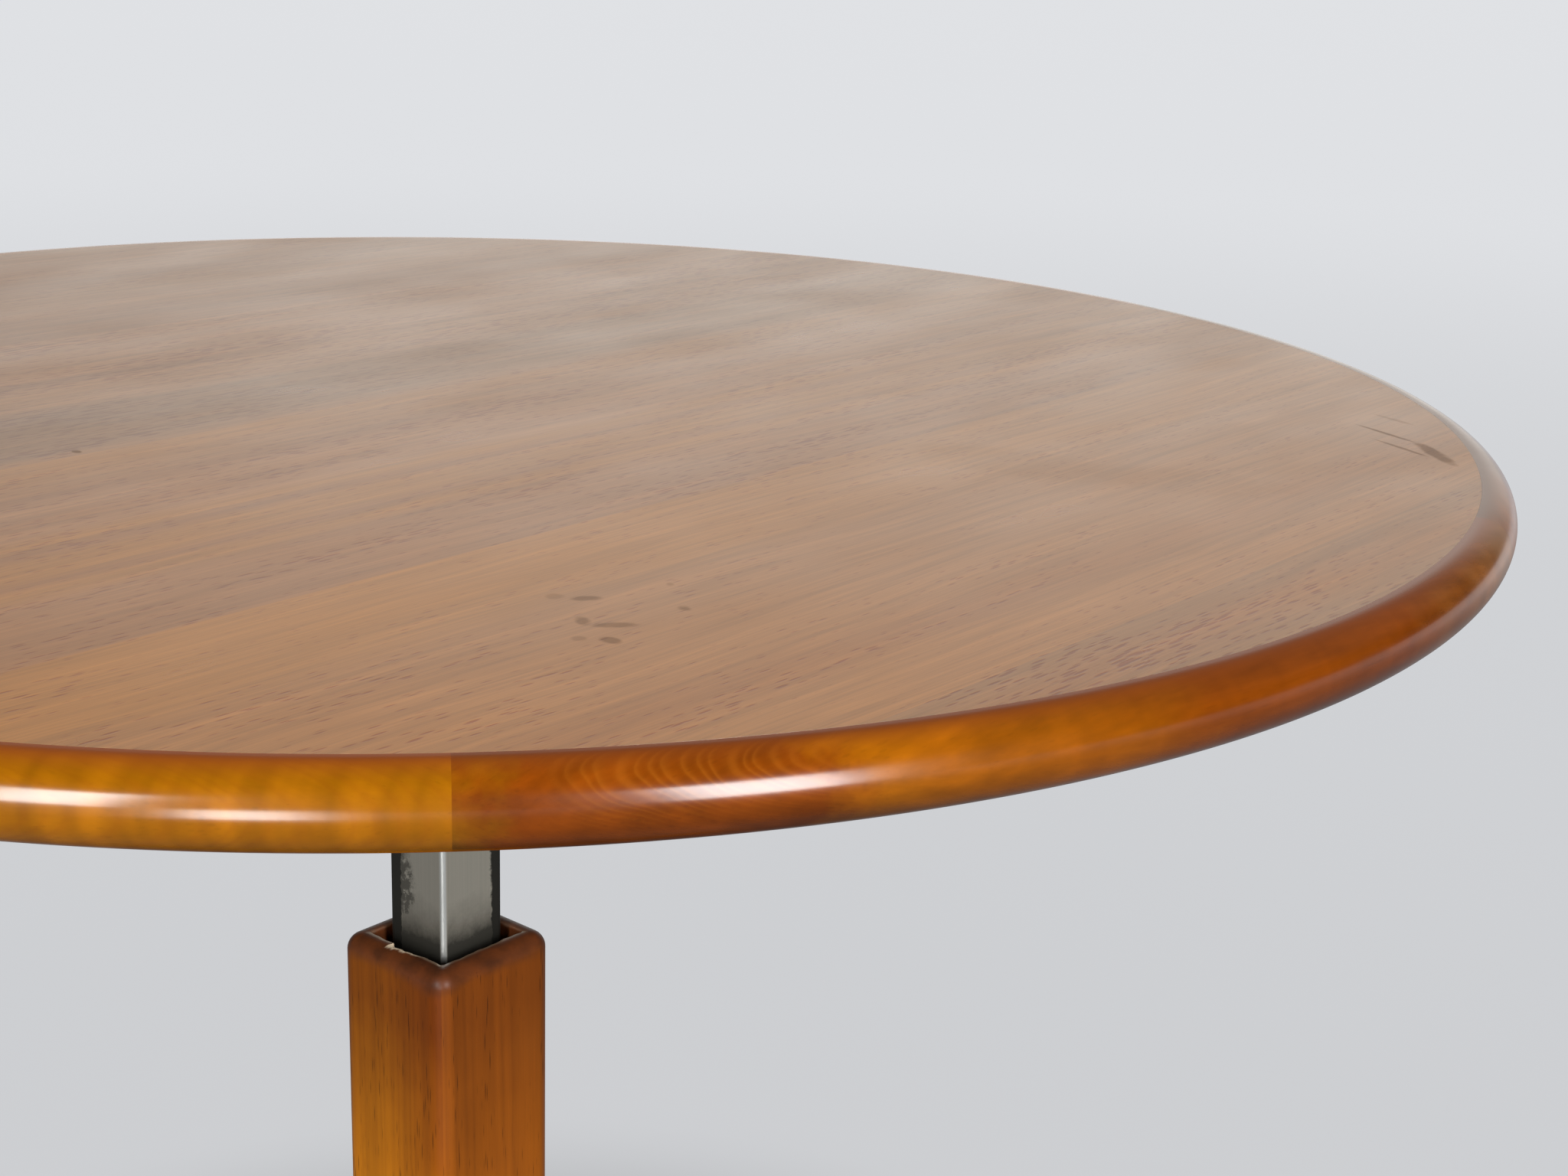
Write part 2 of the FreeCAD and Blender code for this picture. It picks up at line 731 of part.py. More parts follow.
def release_lever():
    """Bar on edge from over the valve pin, out through the post and cranked down to the grip."""
    lean = "lever_height * tan(atan(crank_drop / crank_run) / 2)"
    tail = "-lever_tail"
    outline = [
        (tail, LEVER_UNDERSIDE),
        (f"{CRANK_START} - {lean}", LEVER_UNDERSIDE),
        (f"{CRANK_END} - {lean}", f"{LEVER_UNDERSIDE} - crank_drop"),
        ("lever_reach", f"{LEVER_UNDERSIDE} - crank_drop"),
        ("lever_reach", f"{LEVER_TOP} - crank_drop"),
        (CRANK_END, f"{LEVER_TOP} - crank_drop"),
        (CRANK_START, LEVER_TOP),
        (tail, LEVER_TOP),
    ]
    body = extruded("lever_bar", "XZ_Plane", [outline], "lever_width", side_type="Symmetric")
    inner = [number(f"{CRANK_START} - {lean}"), number(CRANK_END)]
    outer = [number(CRANK_START), number(f"{CRANK_END} - {lean}")]
    round_edges(body, "lever_inner_bends", "crank_bend", lambda edge: is_bend(edge, inner))
    round_edges(body, "lever_outer_bends", "crank_bend + lever_height", lambda edge: is_bend(edge, outer))
    hole = cylinder(
        "lever_hole",
        "pivot_radius + hinge_clearance",
        "lever_width + 2 * cut_overrun",
        x=PIVOT_PLACE,
        y="-lever_width / 2 - cut_overrun",
        z=PIVOT_HEIGHT,
        turn=ALONG_Y,
    )
    return node(cut("release_lever", body, hole), "release_lever")


def is_bend(edge, stations):
    """Whether an edge lies straight across the lever at one of the stations along X."""
    box = edge.BoundBox
    across = box.XLength < NEAR and box.ZLength < NEAR
    return across and any(abs(box.XMin - station) < NEAR for station in stations)


def lever_grip():
    """Rounded grip pushed over the end of the lever."""
    start = "(lever_reach - grip_cover)"
    height = f"({PIVOT_HEIGHT} - crank_drop)"
    radius = "(lever_height / 2 + grip_wall)"
    length = "(grip_cover + grip_end)"
    body = doc.addObject("PartDesign::Body", "grip_blank")
    sketch = sketch_on(body, "grip_section", "XZ_Plane")
    end = f"({start} + {length})"
    top = f"({height} + {radius})"
    draw(sketch, [(start, height), (end, height), (end, top), (start, top)])
    axis_line = 0
    revolution = body.newObject("PartDesign::Revolution", "grip_turn")
    revolution.Profile = sketch
    revolution.ReferenceAxis = (sketch, [f"Edge{axis_line + 1}"])
    revolution.Angle = FULL_TURN
    doc.recompute()
    round_edges(body, "grip_ends", "grip_round", lambda edge: edge.BoundBox.XLength < NEAR)
    socket = block(
        "grip_socket",
        "grip_cover + cut_overrun + fit_clearance",
        "lever_width + 2 * fit_clearance",
        "lever_height + 2 * fit_clearance",
        x=f"({start} - cut_overrun + lever_reach + fit_clearance) / 2",
        z=f"{height} - lever_height / 2 - fit_clearance",
    )
    return node(cut("lever_grip", body, socket), "lever_grip")


# Base


def dowels(name, growth="0", end_gap="0"):
    """Two dowels from each column face into its foot, or the holes for them."""
    bite = f"{DOWEL_BITE_SHARE} * column_wall"

    def pair(side_name):
        return [
            cylinder(
                f"{side_name}_{index}",
                f"dowel_radius + {growth}",
                f"dowel_reach + {bite} + 2 * {end_gap}",
                x=f"{COLUMN_FACE} - {bite} - {end_gap}",
                z=f"{PLATE_TOP} + {share} * foot_root_height",
                turn=ALONG_X,
            )
            for index, share in enumerate(DOWEL_HEIGHT_SHARES, start=1)
        ]

    return around(name, pair)


def base_screws(name):
    """Screws up through the arms of the base plate into the feet."""

    def pair(side_name):
        return [
            stud(
                f"{side_name}_{index}",
                "screw_radius",
                "base_screw_length",
                "screw_head_radius",
                "screw_head_height",
                x=f"{COLUMN_FACE} + {share} * base_plate_reach",
                z=PLATE_UNDERSIDE,
            )
            for index, share in enumerate(BASE_SCREW_SHARES, start=1)
        ]

    return node(around(name, pair), name)


def base_screw_drills():
    """Holes for those screws."""

    def pair(side_name):
        return [
            cylinder(
                f"{side_name}_{index}",
                "screw_radius + fit_clearance",
                "base_screw_length + cut_overrun + hole_end_gap",
                x=f"{COLUMN_FACE} + {share} * base_plate_reach",
                z=f"{PLATE_UNDERSIDE} - cut_overrun",
            )
            for index, share in enumerate(BASE_SCREW_SHARES, start=1)
        ]

    return around("base_screw_drills", pair)


def glide_nails():
    """Nails that hold the glides, with their heads sunk into them."""

    def nail(side_name):
        return [
            stud(
                f"{side_name}_nail",
                "nail_radius",
                "nail_length",
                "nail_head_radius",
                "nail_head_height",
                x=GLIDE_PLACE,
                z="nail_recess",
            )
        ]

    return node(around("glide_nails", nail), "glide_nails")


def nail_drills():
    """Holes for the nails and the recesses for their heads."""

    def drill(side_name):
        depth = "nail_recess + nail_length + hole_end_gap"
        recess_depth = "nail_recess + cut_overrun"
        recess_radius = "nail_head_radius + fit_clearance"
        return [
            cylinder(f"{side_name}_shaft", "nail_radius + fit_clearance", depth, x=GLIDE_PLACE),
            cylinder(f"{side_name}_recess", recess_radius, recess_depth, x=GLIDE_PLACE, z="-cut_overrun"),
        ]

    return around("nail_drills", drill)


def foot_glides(drills):
    """Round nylon glides under the tips of the feet, eased at the floor."""

    def glide(side_name):
        thickness = "glide_height - glide_edge"
        pad = cylinder(f"{side_name}_pad", "glide_radius", thickness, x=GLIDE_PLACE, z="glide_edge")
        toe = doc.addObject("Part::Cone", f"{side_name}_toe")
        bind(toe, Radius1="glide_radius - glide_edge", Radius2="glide_radius", Height="glide_edge")
        bind(toe, x=GLIDE_PLACE)
        return [cut(f"{side_name}_body", fuse(f"{side_name}_blank", pad, toe), drills)]

    discs = [group(f"glide_{side}", glide(f"glide_{side}"), turn) for side, turn in SIDES.items()]
    return node(group("foot_glides", discs), "foot_glides")


def foot_outline():
    """Side of a foot: flat over the base plate, arched down to its pad, tapering along the top."""
    root_top = f"{PLATE_TOP} + foot_root_height"
    tip_top = "glide_height + foot_tip_height"
    return [
        (COLUMN_FACE, PLATE_TOP),
        (f"{PLATE_ARM_END} + base_plate_margin", PLATE_TOP),
        (f"foot_reach - {PAD_LENGTH}", "glide_height"),
        ("foot_reach", "glide_height"),
        ("foot_reach", tip_top),
        (COLUMN_FACE, root_top),
    ]


def is_foot_nose(edge, reach):
    """Whether an edge is one of the two upright ones at the tip of a foot."""
    return is_upright(edge) and edge.BoundBox.XMin > reach[0] - NEAR


def is_foot_top(edge, root, reach):
    """Whether an edge bounds the sloping top of a foot, apart from where it meets the column."""
    middle = edge.valueAt((edge.FirstParameter + edge.LastParameter) / 2)
    run = reach[0] - root[0]
    slope_height = root[1] + (reach[1] - root[1]) * (middle.x - root[0]) / run
    return abs(middle.z - slope_height) < NEAR and abs(middle.x - root[0]) > NEAR


def foot(side, angle, drills):
    """Solid teak foot with a rounded nose and eased top edges."""
    name = f"foot_{side}"
    body = extruded(f"{name}_blank", "XZ_Plane", [foot_outline()], "foot_width", side_type="Symmetric")
    root = (number(COLUMN_FACE), number(f"{PLATE_TOP} + foot_root_height"))
    reach = (number("foot_reach"), number("glide_height + foot_tip_height"))
    nose = f"{FOOT_NOSE_SHARE} * foot_width"
    round_edges(body, f"{name}_nose", nose, lambda edge: is_foot_nose(edge, reach))
    round_edges(body, f"{name}_edges", "foot_edge_round", lambda edge: is_foot_top(edge, root, reach))
    body.Placement = FreeCAD.Placement(FreeCAD.Vector(), FreeCAD.Rotation(Z_AXIS, angle))
    return node(cut(name, body, *drills), name)


def base_plate(screw_drills):
    """Steel cross under the column and the roots of the feet."""
    span = f"2 * {PLATE_ARM_END}"
    width = "foot_width - 2 * base_plate_margin"
    place = {"z": PLATE_UNDERSIDE}
    middle = block("plate_middle", COLUMN_SIDE, COLUMN_SIDE, "base_plate_thickness", **place)
    along = block("plate_arm_along", span, width, "base_plate_thickness", **place)
    over = block("plate_arm_over", width, span, "base_plate_thickness", **place)
    rod_passage = rod_hole("plate_rod_hole", "base_plate_thickness", PLATE_UNDERSIDE)
    cross = fuse("plate_cross", middle, along, over)
    return node(cut("base_plate", cross, screw_drills, rod_passage), "base_plate")


def outer_sleeve():
    """Square steel tube welded upright on the base plate."""
    ends = (PLATE_TOP, SLEEVE_TOP)
    tube = square_tube("outer_sleeve", SLEEVE_SIDE, SLEEVE_INSIDE, *ends, "sleeve_corner")
    return node(tube, "outer_sleeve")


def upper_guide_bush():
    """Flanged nylon bush in the mouth of the sleeve, round the post."""
    skirt_side = f"{SLEEVE_INSIDE} - 2 * fit_clearance"
    bore_side = "post_side + 2 * slide_clearance"
    flange = block("bush_flange", SLEEVE_SIDE, SLEEVE_SIDE, "bush_flange_height", z=SLEEVE_TOP)
    skirt_bottom = f"({SLEEVE_TOP} - bush_skirt_height)"
    skirt = block("bush_skirt", skirt_side, skirt_side, "bush_skirt_height", z=skirt_bottom)
    bore_length = "bush_flange_height + bush_skirt_height + 2 * cut_overrun"
    bore = block("bush_bore", bore_side, bore_side, bore_length, z=f"{skirt_bottom} - cut_overrun")
    return node(cut("upper_guide_bush", fuse("bush_blank", flange, skirt), bore), "upper_guide_bush")


def packing_strips():
    """Strips that pack the column off the sleeve."""

    def strip(side_name):
        return [
            block(
                f"{side_name}_strip",
                "packing_thickness",
                "packing_width",
                f"{SLEEVE_TOP} - {PLATE_TOP}",
                x=f"({SLEEVE_SIDE} + packing_thickness) / 2",
                z=PLATE_TOP,
            )
        ]

    return node(around("packing_strips", strip), "packing_strips")


def column_staves(drills):
    """Four mitred boards, cut from one rounded hollow column along its diagonals."""
    corner = f"{LIP_ROUND} + column_corner_ease"
    column = square_tube("column_blank", COLUMN_SIDE, COLUMN_HOLE, PLATE_TOP, COLUMN_TOP, corner)
    reach = number(COLUMN_FACE)
    top = number(COLUMN_TOP)
    round_edges(column, "column_lip", LIP_ROUND, lambda edge: is_outer_lip(edge, top, reach))
    drilled = cut("column_drilled", column, drills)
    for side, angle in SIDES.items():
        wedge = doc.addObject("Part::Box", f"mitre_{side}")
        turn = FreeCAD.Rotation(Z_AXIS, angle - MITRE_ANGLE)
        wedge.Placement = FreeCAD.Placement(FreeCAD.Vector(), turn)
        bind(wedge, Length=COLUMN_SIDE, Width=COLUMN_SIDE, Height=f"{COLUMN_TOP} + cut_overrun")
        node(common(f"column_stave_{side}", drilled, wedge), f"column_stave_{side}")


def is_outer_lip(edge, top, reach):
    """Whether an edge goes round the outside of the column's top."""
    box = edge.BoundBox
    middle = edge.valueAt((edge.FirstParameter + edge.LastParameter) / 2)
    hole = number(COLUMN_HOLE) / 2
    outside = max(abs(middle.x), abs(middle.y)) > (hole + reach) / 2
    return box.ZMin > top - NEAR and outside


def gas_spring_rod():
    """Piston rod bolted upright through the base plate."""
    bottom = f"({PLATE_UNDERSIDE} - washer_thickness - nut_height - rod_end)"
    rod = cylinder("gas_spring_rod", "rod_radius", f"{PISTON_BOTTOM} - {bottom}", z=bottom)
    return node(rod, "gas_spring_rod")


def gas_spring_piston():
    """Piston on the head of the rod."""
    radius = f"{BORE_RADIUS} - slide_clearance"
    piston = cylinder("gas_spring_piston", radius, "piston_length", z=PISTON_BOTTOM)
    return node(piston, "gas_spring_piston")


def rod_hole(name, height, z):
    """Hole that passes the rod through the plate, a nut or the washer."""
    length = f"{height} + 2 * cut_overrun"
    return cylinder(name, "rod_radius + fit_clearance", length, z=f"{z} - cut_overrun")


def rod_washer():
    """Washer under the base plate."""
    z = f"({PLATE_UNDERSIDE} - washer_thickness)"
    disc = cylinder("washer_disc", "washer_radius", "washer_thickness", z=z)
    return node(cut("rod_washer", disc, rod_hole("washer_hole", "washer_thickness", z)), "rod_washer")


def rod_nuts():
    """Hexagon nuts above and below the base plate."""
    levels = {"upper": PLATE_TOP, "lower": f"({PLATE_UNDERSIDE} - washer_thickness - nut_height)"}
    nuts = []
    for level, z in levels.items():
        hexagon = doc.addObject("Part::Prism", f"{level}_nut_hexagon")
        hexagon.Polygon = NUT_SIDES
        bind(hexagon, Circumradius="nut_corner_radius", Height="nut_height", z=z)
        nuts.append(cut(f"{level}_nut", hexagon, rod_hole(f"{level}_nut_hole", "nut_height", z)))
    return node(group("rod_nuts", nuts), "rod_nuts")


def make_top():
    """Everything that rides up and down with the table top."""
    drills = mount_drills()
    top_core(drills)
    face_leaves()
    backing_veneer(drills)
    lipping()
    mounting_plate(drills)
    mount_screws()
    cross_drills = post_drills()
    inner_post(cross_drills)
    post_shoe(cross_drills)
    shoe_pins()
    gas_spring_cylinder()
    gas_spring_seal()
    cylinder_collar(cross_drills)
    collar_screws()
    release_pin()
    lever_bracket()
    lever_pin()
    lever_pin_clip()
    release_lever()
    lever_grip()


def make_base():
    """Everything that stands on the floor."""
    dowel_holes = dowels("dowel_holes", "fit_clearance", "hole_end_gap")
    screw_drills = base_screw_drills()
    nail_holes = nail_drills()
    column_staves(dowel_holes)
    for side, angle in SIDES.items():
        foot(side, angle, (dowel_holes, screw_drills, nail_holes))
    node(dowels("foot_dowels"), "foot_dowels")
    base_screws("base_plate_screws")
    foot_glides(nail_holes)
    glide_nails()
    base_plate(screw_drills)
    outer_sleeve()
    upper_guide_bush()
    packing_strips()
    gas_spring_rod()
    gas_spring_piston()
    rod_washer()
    rod_nuts()


def check():
    """Stop if any object failed or any sub-part is empty or invalid."""
    failed = [thing.Name for thing in doc.Objects if {"Invalid", "Error"} & set(thing.State)]
    failed += [piece.Label for piece in nodes if piece.Shape.isNull() or not piece.Shape.isValid()]
    if failed:
        raise RuntimeError(f"failed: {', '.join(failed)}")


def write():
    """Write each sub-part to its own file."""
    os.makedirs("parts", exist_ok=True)
    for piece in nodes:
        piece.Shape.exportStep(os.path.join("parts", f"{piece.Label}.step"))
        print(f"{piece.Label}: {len(piece.Shape.Solids)} solids, {piece.Shape.Volume:.0f} cubic mm")


fill_sheet()
make_top()
make_base()
doc.recompute()
check()
write()
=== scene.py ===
"""Looks of a round teak table on a telescoping pedestal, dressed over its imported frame."""

import logging
import math
from collections.abc import Sequence
from dataclasses import dataclass, field, replace
from enum import Enum
from typing import Any

import bpy
import numpy as np
from mathutils import Matrix, Vector


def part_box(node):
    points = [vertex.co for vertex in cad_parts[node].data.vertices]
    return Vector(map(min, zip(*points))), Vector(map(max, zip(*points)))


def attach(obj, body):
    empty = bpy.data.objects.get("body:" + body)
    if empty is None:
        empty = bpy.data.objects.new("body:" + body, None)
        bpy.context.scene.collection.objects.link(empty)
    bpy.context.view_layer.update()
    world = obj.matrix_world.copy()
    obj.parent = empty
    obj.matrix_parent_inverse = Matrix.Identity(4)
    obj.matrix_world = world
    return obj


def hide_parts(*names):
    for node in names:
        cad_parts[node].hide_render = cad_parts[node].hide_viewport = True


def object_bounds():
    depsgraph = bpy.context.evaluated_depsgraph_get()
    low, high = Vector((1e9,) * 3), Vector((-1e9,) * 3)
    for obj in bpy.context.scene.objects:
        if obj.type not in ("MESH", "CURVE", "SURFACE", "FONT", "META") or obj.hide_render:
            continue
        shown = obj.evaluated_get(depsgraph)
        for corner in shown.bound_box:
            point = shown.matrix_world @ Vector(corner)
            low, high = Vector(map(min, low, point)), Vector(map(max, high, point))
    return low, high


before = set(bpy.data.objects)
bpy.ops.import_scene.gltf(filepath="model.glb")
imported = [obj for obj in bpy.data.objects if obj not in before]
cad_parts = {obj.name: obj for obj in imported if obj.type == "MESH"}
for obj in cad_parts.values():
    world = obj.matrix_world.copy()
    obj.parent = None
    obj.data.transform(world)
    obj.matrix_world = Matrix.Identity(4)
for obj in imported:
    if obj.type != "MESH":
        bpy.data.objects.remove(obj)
CAD_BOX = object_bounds()
MM = 0.001
SHARP_ANGLE = math.radians(35)
LACQUER_IOR = 1.5
# Radius of the seam between veneer and lipping.
SEAM_MM = 474.0
# Most of a noise lies between the first two values, and soft patches part between the other two.
NOISE_SPAN = (0.28, 0.72)
PATCH_SPAN = (0.35, 0.65)
WHITE = (1.0, 1.0, 1.0, 1.0)
TINT = {"data_type": "RGBA"}
SMOOTH = {"interpolation_type": "SMOOTHSTEP"}
log = logging.getLogger("pedestal_table")

Shape = tuple[np.ndarray, list[list[int]]]
Colour = tuple[float, float, float, float]
Pair = tuple[float, float]
Triple = tuple[float, float, float]
Tree = bpy.types.NodeTree
# A node's output, or a constant in its place.
Socket = Any


# Meshes from arrays


def swept(rings: np.ndarray) -> Shape:
    """Solid through closed rings of points: a face between neighbours on two rings, both ends filled.

    Args:
        rings: stations by points by three coordinates.

    Returns:
        Points and faces of the closed solid.
    """
    stations, count = rings.shape[:2]
    here = np.arange(count)
    following = np.roll(here, -1)
    start = np.arange(stations - 1)[:, None] * count
    corners = [start + here, start + following, start + count + following, start + count + here]
    faces = np.stack(corners, -1).reshape(-1, 4).tolist()
    last = here + (stations - 1) * count
    return rings.reshape(-1, 3), faces + [here[::-1].tolist(), last.tolist()]


def signed_volume(mesh: bpy.types.Mesh) -> float:
    """Volume inside a closed mesh, below zero where its faces point inwards.

    Args:
        mesh: the mesh to measure.

    Returns:
        A sixth of the sum of the triple products of its triangles.
    """
    mesh.calc_loop_triangles()
    points = np.empty(len(mesh.vertices) * 3)
    mesh.vertices.foreach_get("co", points)
    corners = np.empty(len(mesh.loop_triangles) * 3, int)
    mesh.loop_triangles.foreach_get("vertices", corners)
    a, b, c = points.reshape(-1, 3)[corners.reshape(-1, 3)].transpose(1, 0, 2)
    return float(np.einsum("ij,ij->", a, np.cross(b, c)) / 6)


def piece(
    name: str,
    shape: Shape,
    finish: bpy.types.Material,
    body: str,
    stands_for: tuple[str, ...],
    wear: np.ndarray | None = None,
) -> None:
    """Make a piece of the table from points and faces and let it ride on its body.

    Args:
        name: the piece's name.
        shape: points in metres in the table's frame, and faces.
        finish: its material.
        body: the moving body that carries it.
        stands_for: the frame's nodes that it replaces.
        wear: how bare each point is worn, from 0 to 1.
    """
    points, faces = shape
    mesh = bpy.data.meshes.new(name)
    mesh.from_pydata(points.tolist(), [], faces)
    mesh.validate()
    if signed_volume(mesh) < 0:
        mesh.flip_normals()
    mesh.shade_smooth()
    mesh.set_sharp_from_angle(angle=SHARP_ANGLE)
    mesh.materials.append(finish)
    if wear is not None:
        mesh.attributes.new("wear", "FLOAT", "POINT").data.foreach_set("value", wear)
    made = bpy.data.objects.new(name, mesh)
    bpy.context.scene.collection.objects.link(made)
    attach(made, body)
    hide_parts(*stands_for)
    log.info("%s: %d faces on %s", name, len(mesh.polygons), body)


def dress(names: tuple[str, ...], finish: bpy.types.Material) -> None:
    """Give nodes of the frame, whose shape is right as it is, their finish.

    Args:
        names: the nodes' names.
        finish: the material for all of them.
    """
    for name in names:
        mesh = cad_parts[name].data
        mesh.materials.clear()
        mesh.materials.append(finish)
        log.info("%s: dressed in %s", name, finish.name)


# Colours and nodes


def linear(code: str) -> Colour:
    """Linear colour of an sRGB hex code.

    Args:
        code: six hex digits after a hash sign.

    Returns:
        Red, green, blue and a full alpha.
    """
    channels = np.array([int(code[i : i + 2], 16) for i in (1, 3, 5)]) / 255
    curved = ((channels + 0.055) / 1.055) ** 2.4
    return (*np.where(channels <= 0.04045, channels / 12.92, curved).tolist(), 1.0)


def per(size_mm: float) -> float:
    """Scale at which one unit of a pattern is a real size in millimetres."""
    return 1 / (size_mm * MM)


def metres(*sizes_mm: float) -> tuple[float, ...]:
    """Sizes in millimetres as metres."""
    return tuple(size * MM for size in sizes_mm)


def around(level: float, share: float) -> Pair:
    """A level less a share of itself, and with that share more."""
    return level * (1 - share), level * (1 + share)


def add(
    tree: Tree,
    kind: str,
    sockets: tuple[Any, ...] | dict[Any, Any] = (),
    out: int | str = 0,
    **settings: Any,
) -> Socket:
    """Add one shader node.

    Args:
        tree: the node tree.
        kind: the node's type without its common prefix.
        sockets: a value or another node's output for each input, in order, or by name or number.
        out: the output that is wanted, by name or number.
        settings: the node's own properties.

    Returns:
        That output of the new node.
    """
    made = tree.nodes.new("ShaderNode" + kind)
    for name, value in settings.items():
        setattr(made, name, value)
    given = sockets if isinstance(sockets, dict) else dict(enumerate(sockets))
    for socket, value in given.items():
        if isinstance(value, bpy.types.NodeSocket):
            tree.links.new(value, made.inputs[socket])
        else:
            made.inputs[socket].default_value = value
    return made.outputs[out]


def begin(name: str, **values: Any) -> tuple[bpy.types.Material, Tree, Socket]:
    """Start a material with its shader and the piece's own coordinates.

    Args:
        name: the material's name.
        values: shader inputs that are the same all over, with underscores for spaces.

    Returns:
        The material, its tree and the coordinates in metres.
    """
    made = bpy.data.materials.new(name)
    made.use_nodes = True
    tree = made.node_tree
    for socket, value in values.items():
        tree.nodes["Principled BSDF"].inputs[socket.replace("_", " ")].default_value = value
    return made, tree, add(tree, "TexCoord", out="Object")


def close(
    made: bpy.types.Material,
    colour: Socket,
    gloss: Socket | None,
    relief: Socket,
    strength: float,
    depth_mm: float,
) -> bpy.types.Material:
    """Link what changes over a surface to its material's shader.

    Args:
        made: the material.
        colour: the output with its colour.
        gloss: the output with its roughness, if that changes.
        relief: the output with the height of its skin.
        strength: how strongly the relief shows, up to 1.
        depth_mm: depth of the relief.

    Returns:
        The material.
    """
    tree = made.node_tree
    bump = add(tree, "Bump", {"Height": relief, "Strength": strength, "Distance": depth_mm * MM})
    for socket, output in (("Base Color", colour), ("Roughness", gloss), ("Normal", bump)):
        if output is not None:
            tree.links.new(output, tree.nodes["Principled BSDF"].inputs[socket])
    return made


def shade(tree: Tree, colour: Socket, *layers: Socket) -> Socket:
    """Lay several shades over a colour, each of which multiplies what is under it.

    Args:
        tree: the node tree.
        colour: the output with the colour.
        layers: the outputs with the shades.

    Returns:
        The output with the shaded colour.
    """
    for layer in layers:
        colour = add(tree, "Mix", {0: 1.0, 6: colour, 7: layer}, 2, blend_type="MULTIPLY", **TINT)
    return colour


def graded(tree: Tree, value: Socket, stops: Sequence[tuple[float, Colour]], blend: str = "LINEAR") -> Socket:
    """Colours laid out along a value.

    Args:
        tree: the node tree.
        value: the output that the colours follow.
        stops: the values at which a colour is full, rising, each with that colour.
        blend: how the ramp goes from one colour to the next.

    Returns:
        The output with the colour.
    """
    first, last = stops[0][0], stops[-1][0]
    if (first, last) != (0, 1):
        value = add(tree, "MapRange", (value, first, last))
    made = add(tree, "ValToRGB", (value,))
    ramp = made.node.color_ramp
    ramp.interpolation = blend
    while len(ramp.elements) < len(stops):
        ramp.elements.new(0.5)
    for element, (place, colour) in zip(ramp.elements, stops):
        element.position = (place - first) / (last - first)
        element.color = colour
    return made


def streaks(tree: Tree, grain: Socket, size_mm: Pair, span: Pair, detail: float = 3.0) -> Socket:
    """Noise drawn out along the grain.

    Args:
        tree: the node tree.
        grain: coordinates in metres with the grain along X.
        size_mm: size of the noise along the grain and across it.
        span: value of the darkest and of the lightest streak.
        detail: how many finer noises are laid over the first.

    Returns:
        The output that gives the streaks.
    """
    along, across = per(size_mm[0]), per(size_mm[1])
    scaled = add(tree, "Mapping", {"Vector": grain, "Scale": (along, across, across)})
    noise = add(tree, "TexNoise", {"Vector": scaled, "Scale": 1.0, "Detail": detail})
    return add(tree, "MapRange", (noise, *NOISE_SPAN, *span))


def pores(tree: Tree, grain: Socket, size_mm: Pair, share: Socket) -> Socket:
    """Open vessels of the wood as short dashes along the grain, one in each cell of a stretched cell pattern.

    Args:
        tree: the node tree.
        grain: coordinates in metres with the grain along X.
        size_mm: length and width of a cell.
        share: the output that says how much of its cell a dash fills.

    Returns:
        The output that is 1 in a dash and 0 between them.
    """
    soft_edge = 0.15
    along, across = per(size_mm[0]), per(size_mm[1])
    scaled = add(tree, "Mapping", {"Vector": grain, "Scale": (along, across, across)})
    cells = add(tree, "TexVoronoi", {"Vector": scaled, "Scale": 1.0}, "Distance")
    depth = add(tree, "Math", (share, cells), operation="SUBTRACT")
    return add(tree, "MapRange", (depth, 0.0, soft_edge))


def oval(tree: Tree, place: Socket, middle: Triple, half: Triple, turn: float = 0.0) -> Socket:
    """Soft oval that falls evenly from 1 in its middle to 0 at its edge.

    Args:
        tree: the node tree.
        place: coordinates in metres.
        middle: where its middle lies.
        half: half its size along each of its own axes.
        turn: its turn about Z in degrees.

    Returns:
        The output that gives the oval.
    """
    axes = {"Location": middle, "Scale": half, "Rotation": (0, 0, math.radians(turn))}
    local = add(tree, "Mapping", {"Vector": place, **axes}, vector_type="TEXTURE")
    return add(tree, "TexGradient", (local,), "Fac", gradient_type="SPHERICAL")


def plan_radius(tree: Tree, place: Socket) -> Socket:
    """Distance of each point from the upright through the middle of the table.

    Args:
        tree: the node tree.
        place: coordinates in metres.

    Returns:
        The output with the distance in metres.
    """
    flat = add(tree, "VectorMath", (place, (1, 1, 0)), operation="MULTIPLY")
    return add(tree, "VectorMath", (flat,), "Value", operation="LENGTH")


# Finishes


class Tone(Enum):
    """Colours that lie side by side in sliced teak."""

    PALE = "#a06c3d"
    HONEY = "#a16a2e"
    ROSE = "#9b6837"
    UMBER = "#925f30"
    PLUM = "#96653a"
    SLATE = "#895f38"


@dataclass(frozen=True)
class Mark:
    """Soft oval stain on the face of the top: middle and size in millimetres, turn in degrees, depth to 1."""

    x: float
    y: float
    length: float
    width: float
    turn: float
    depth: float


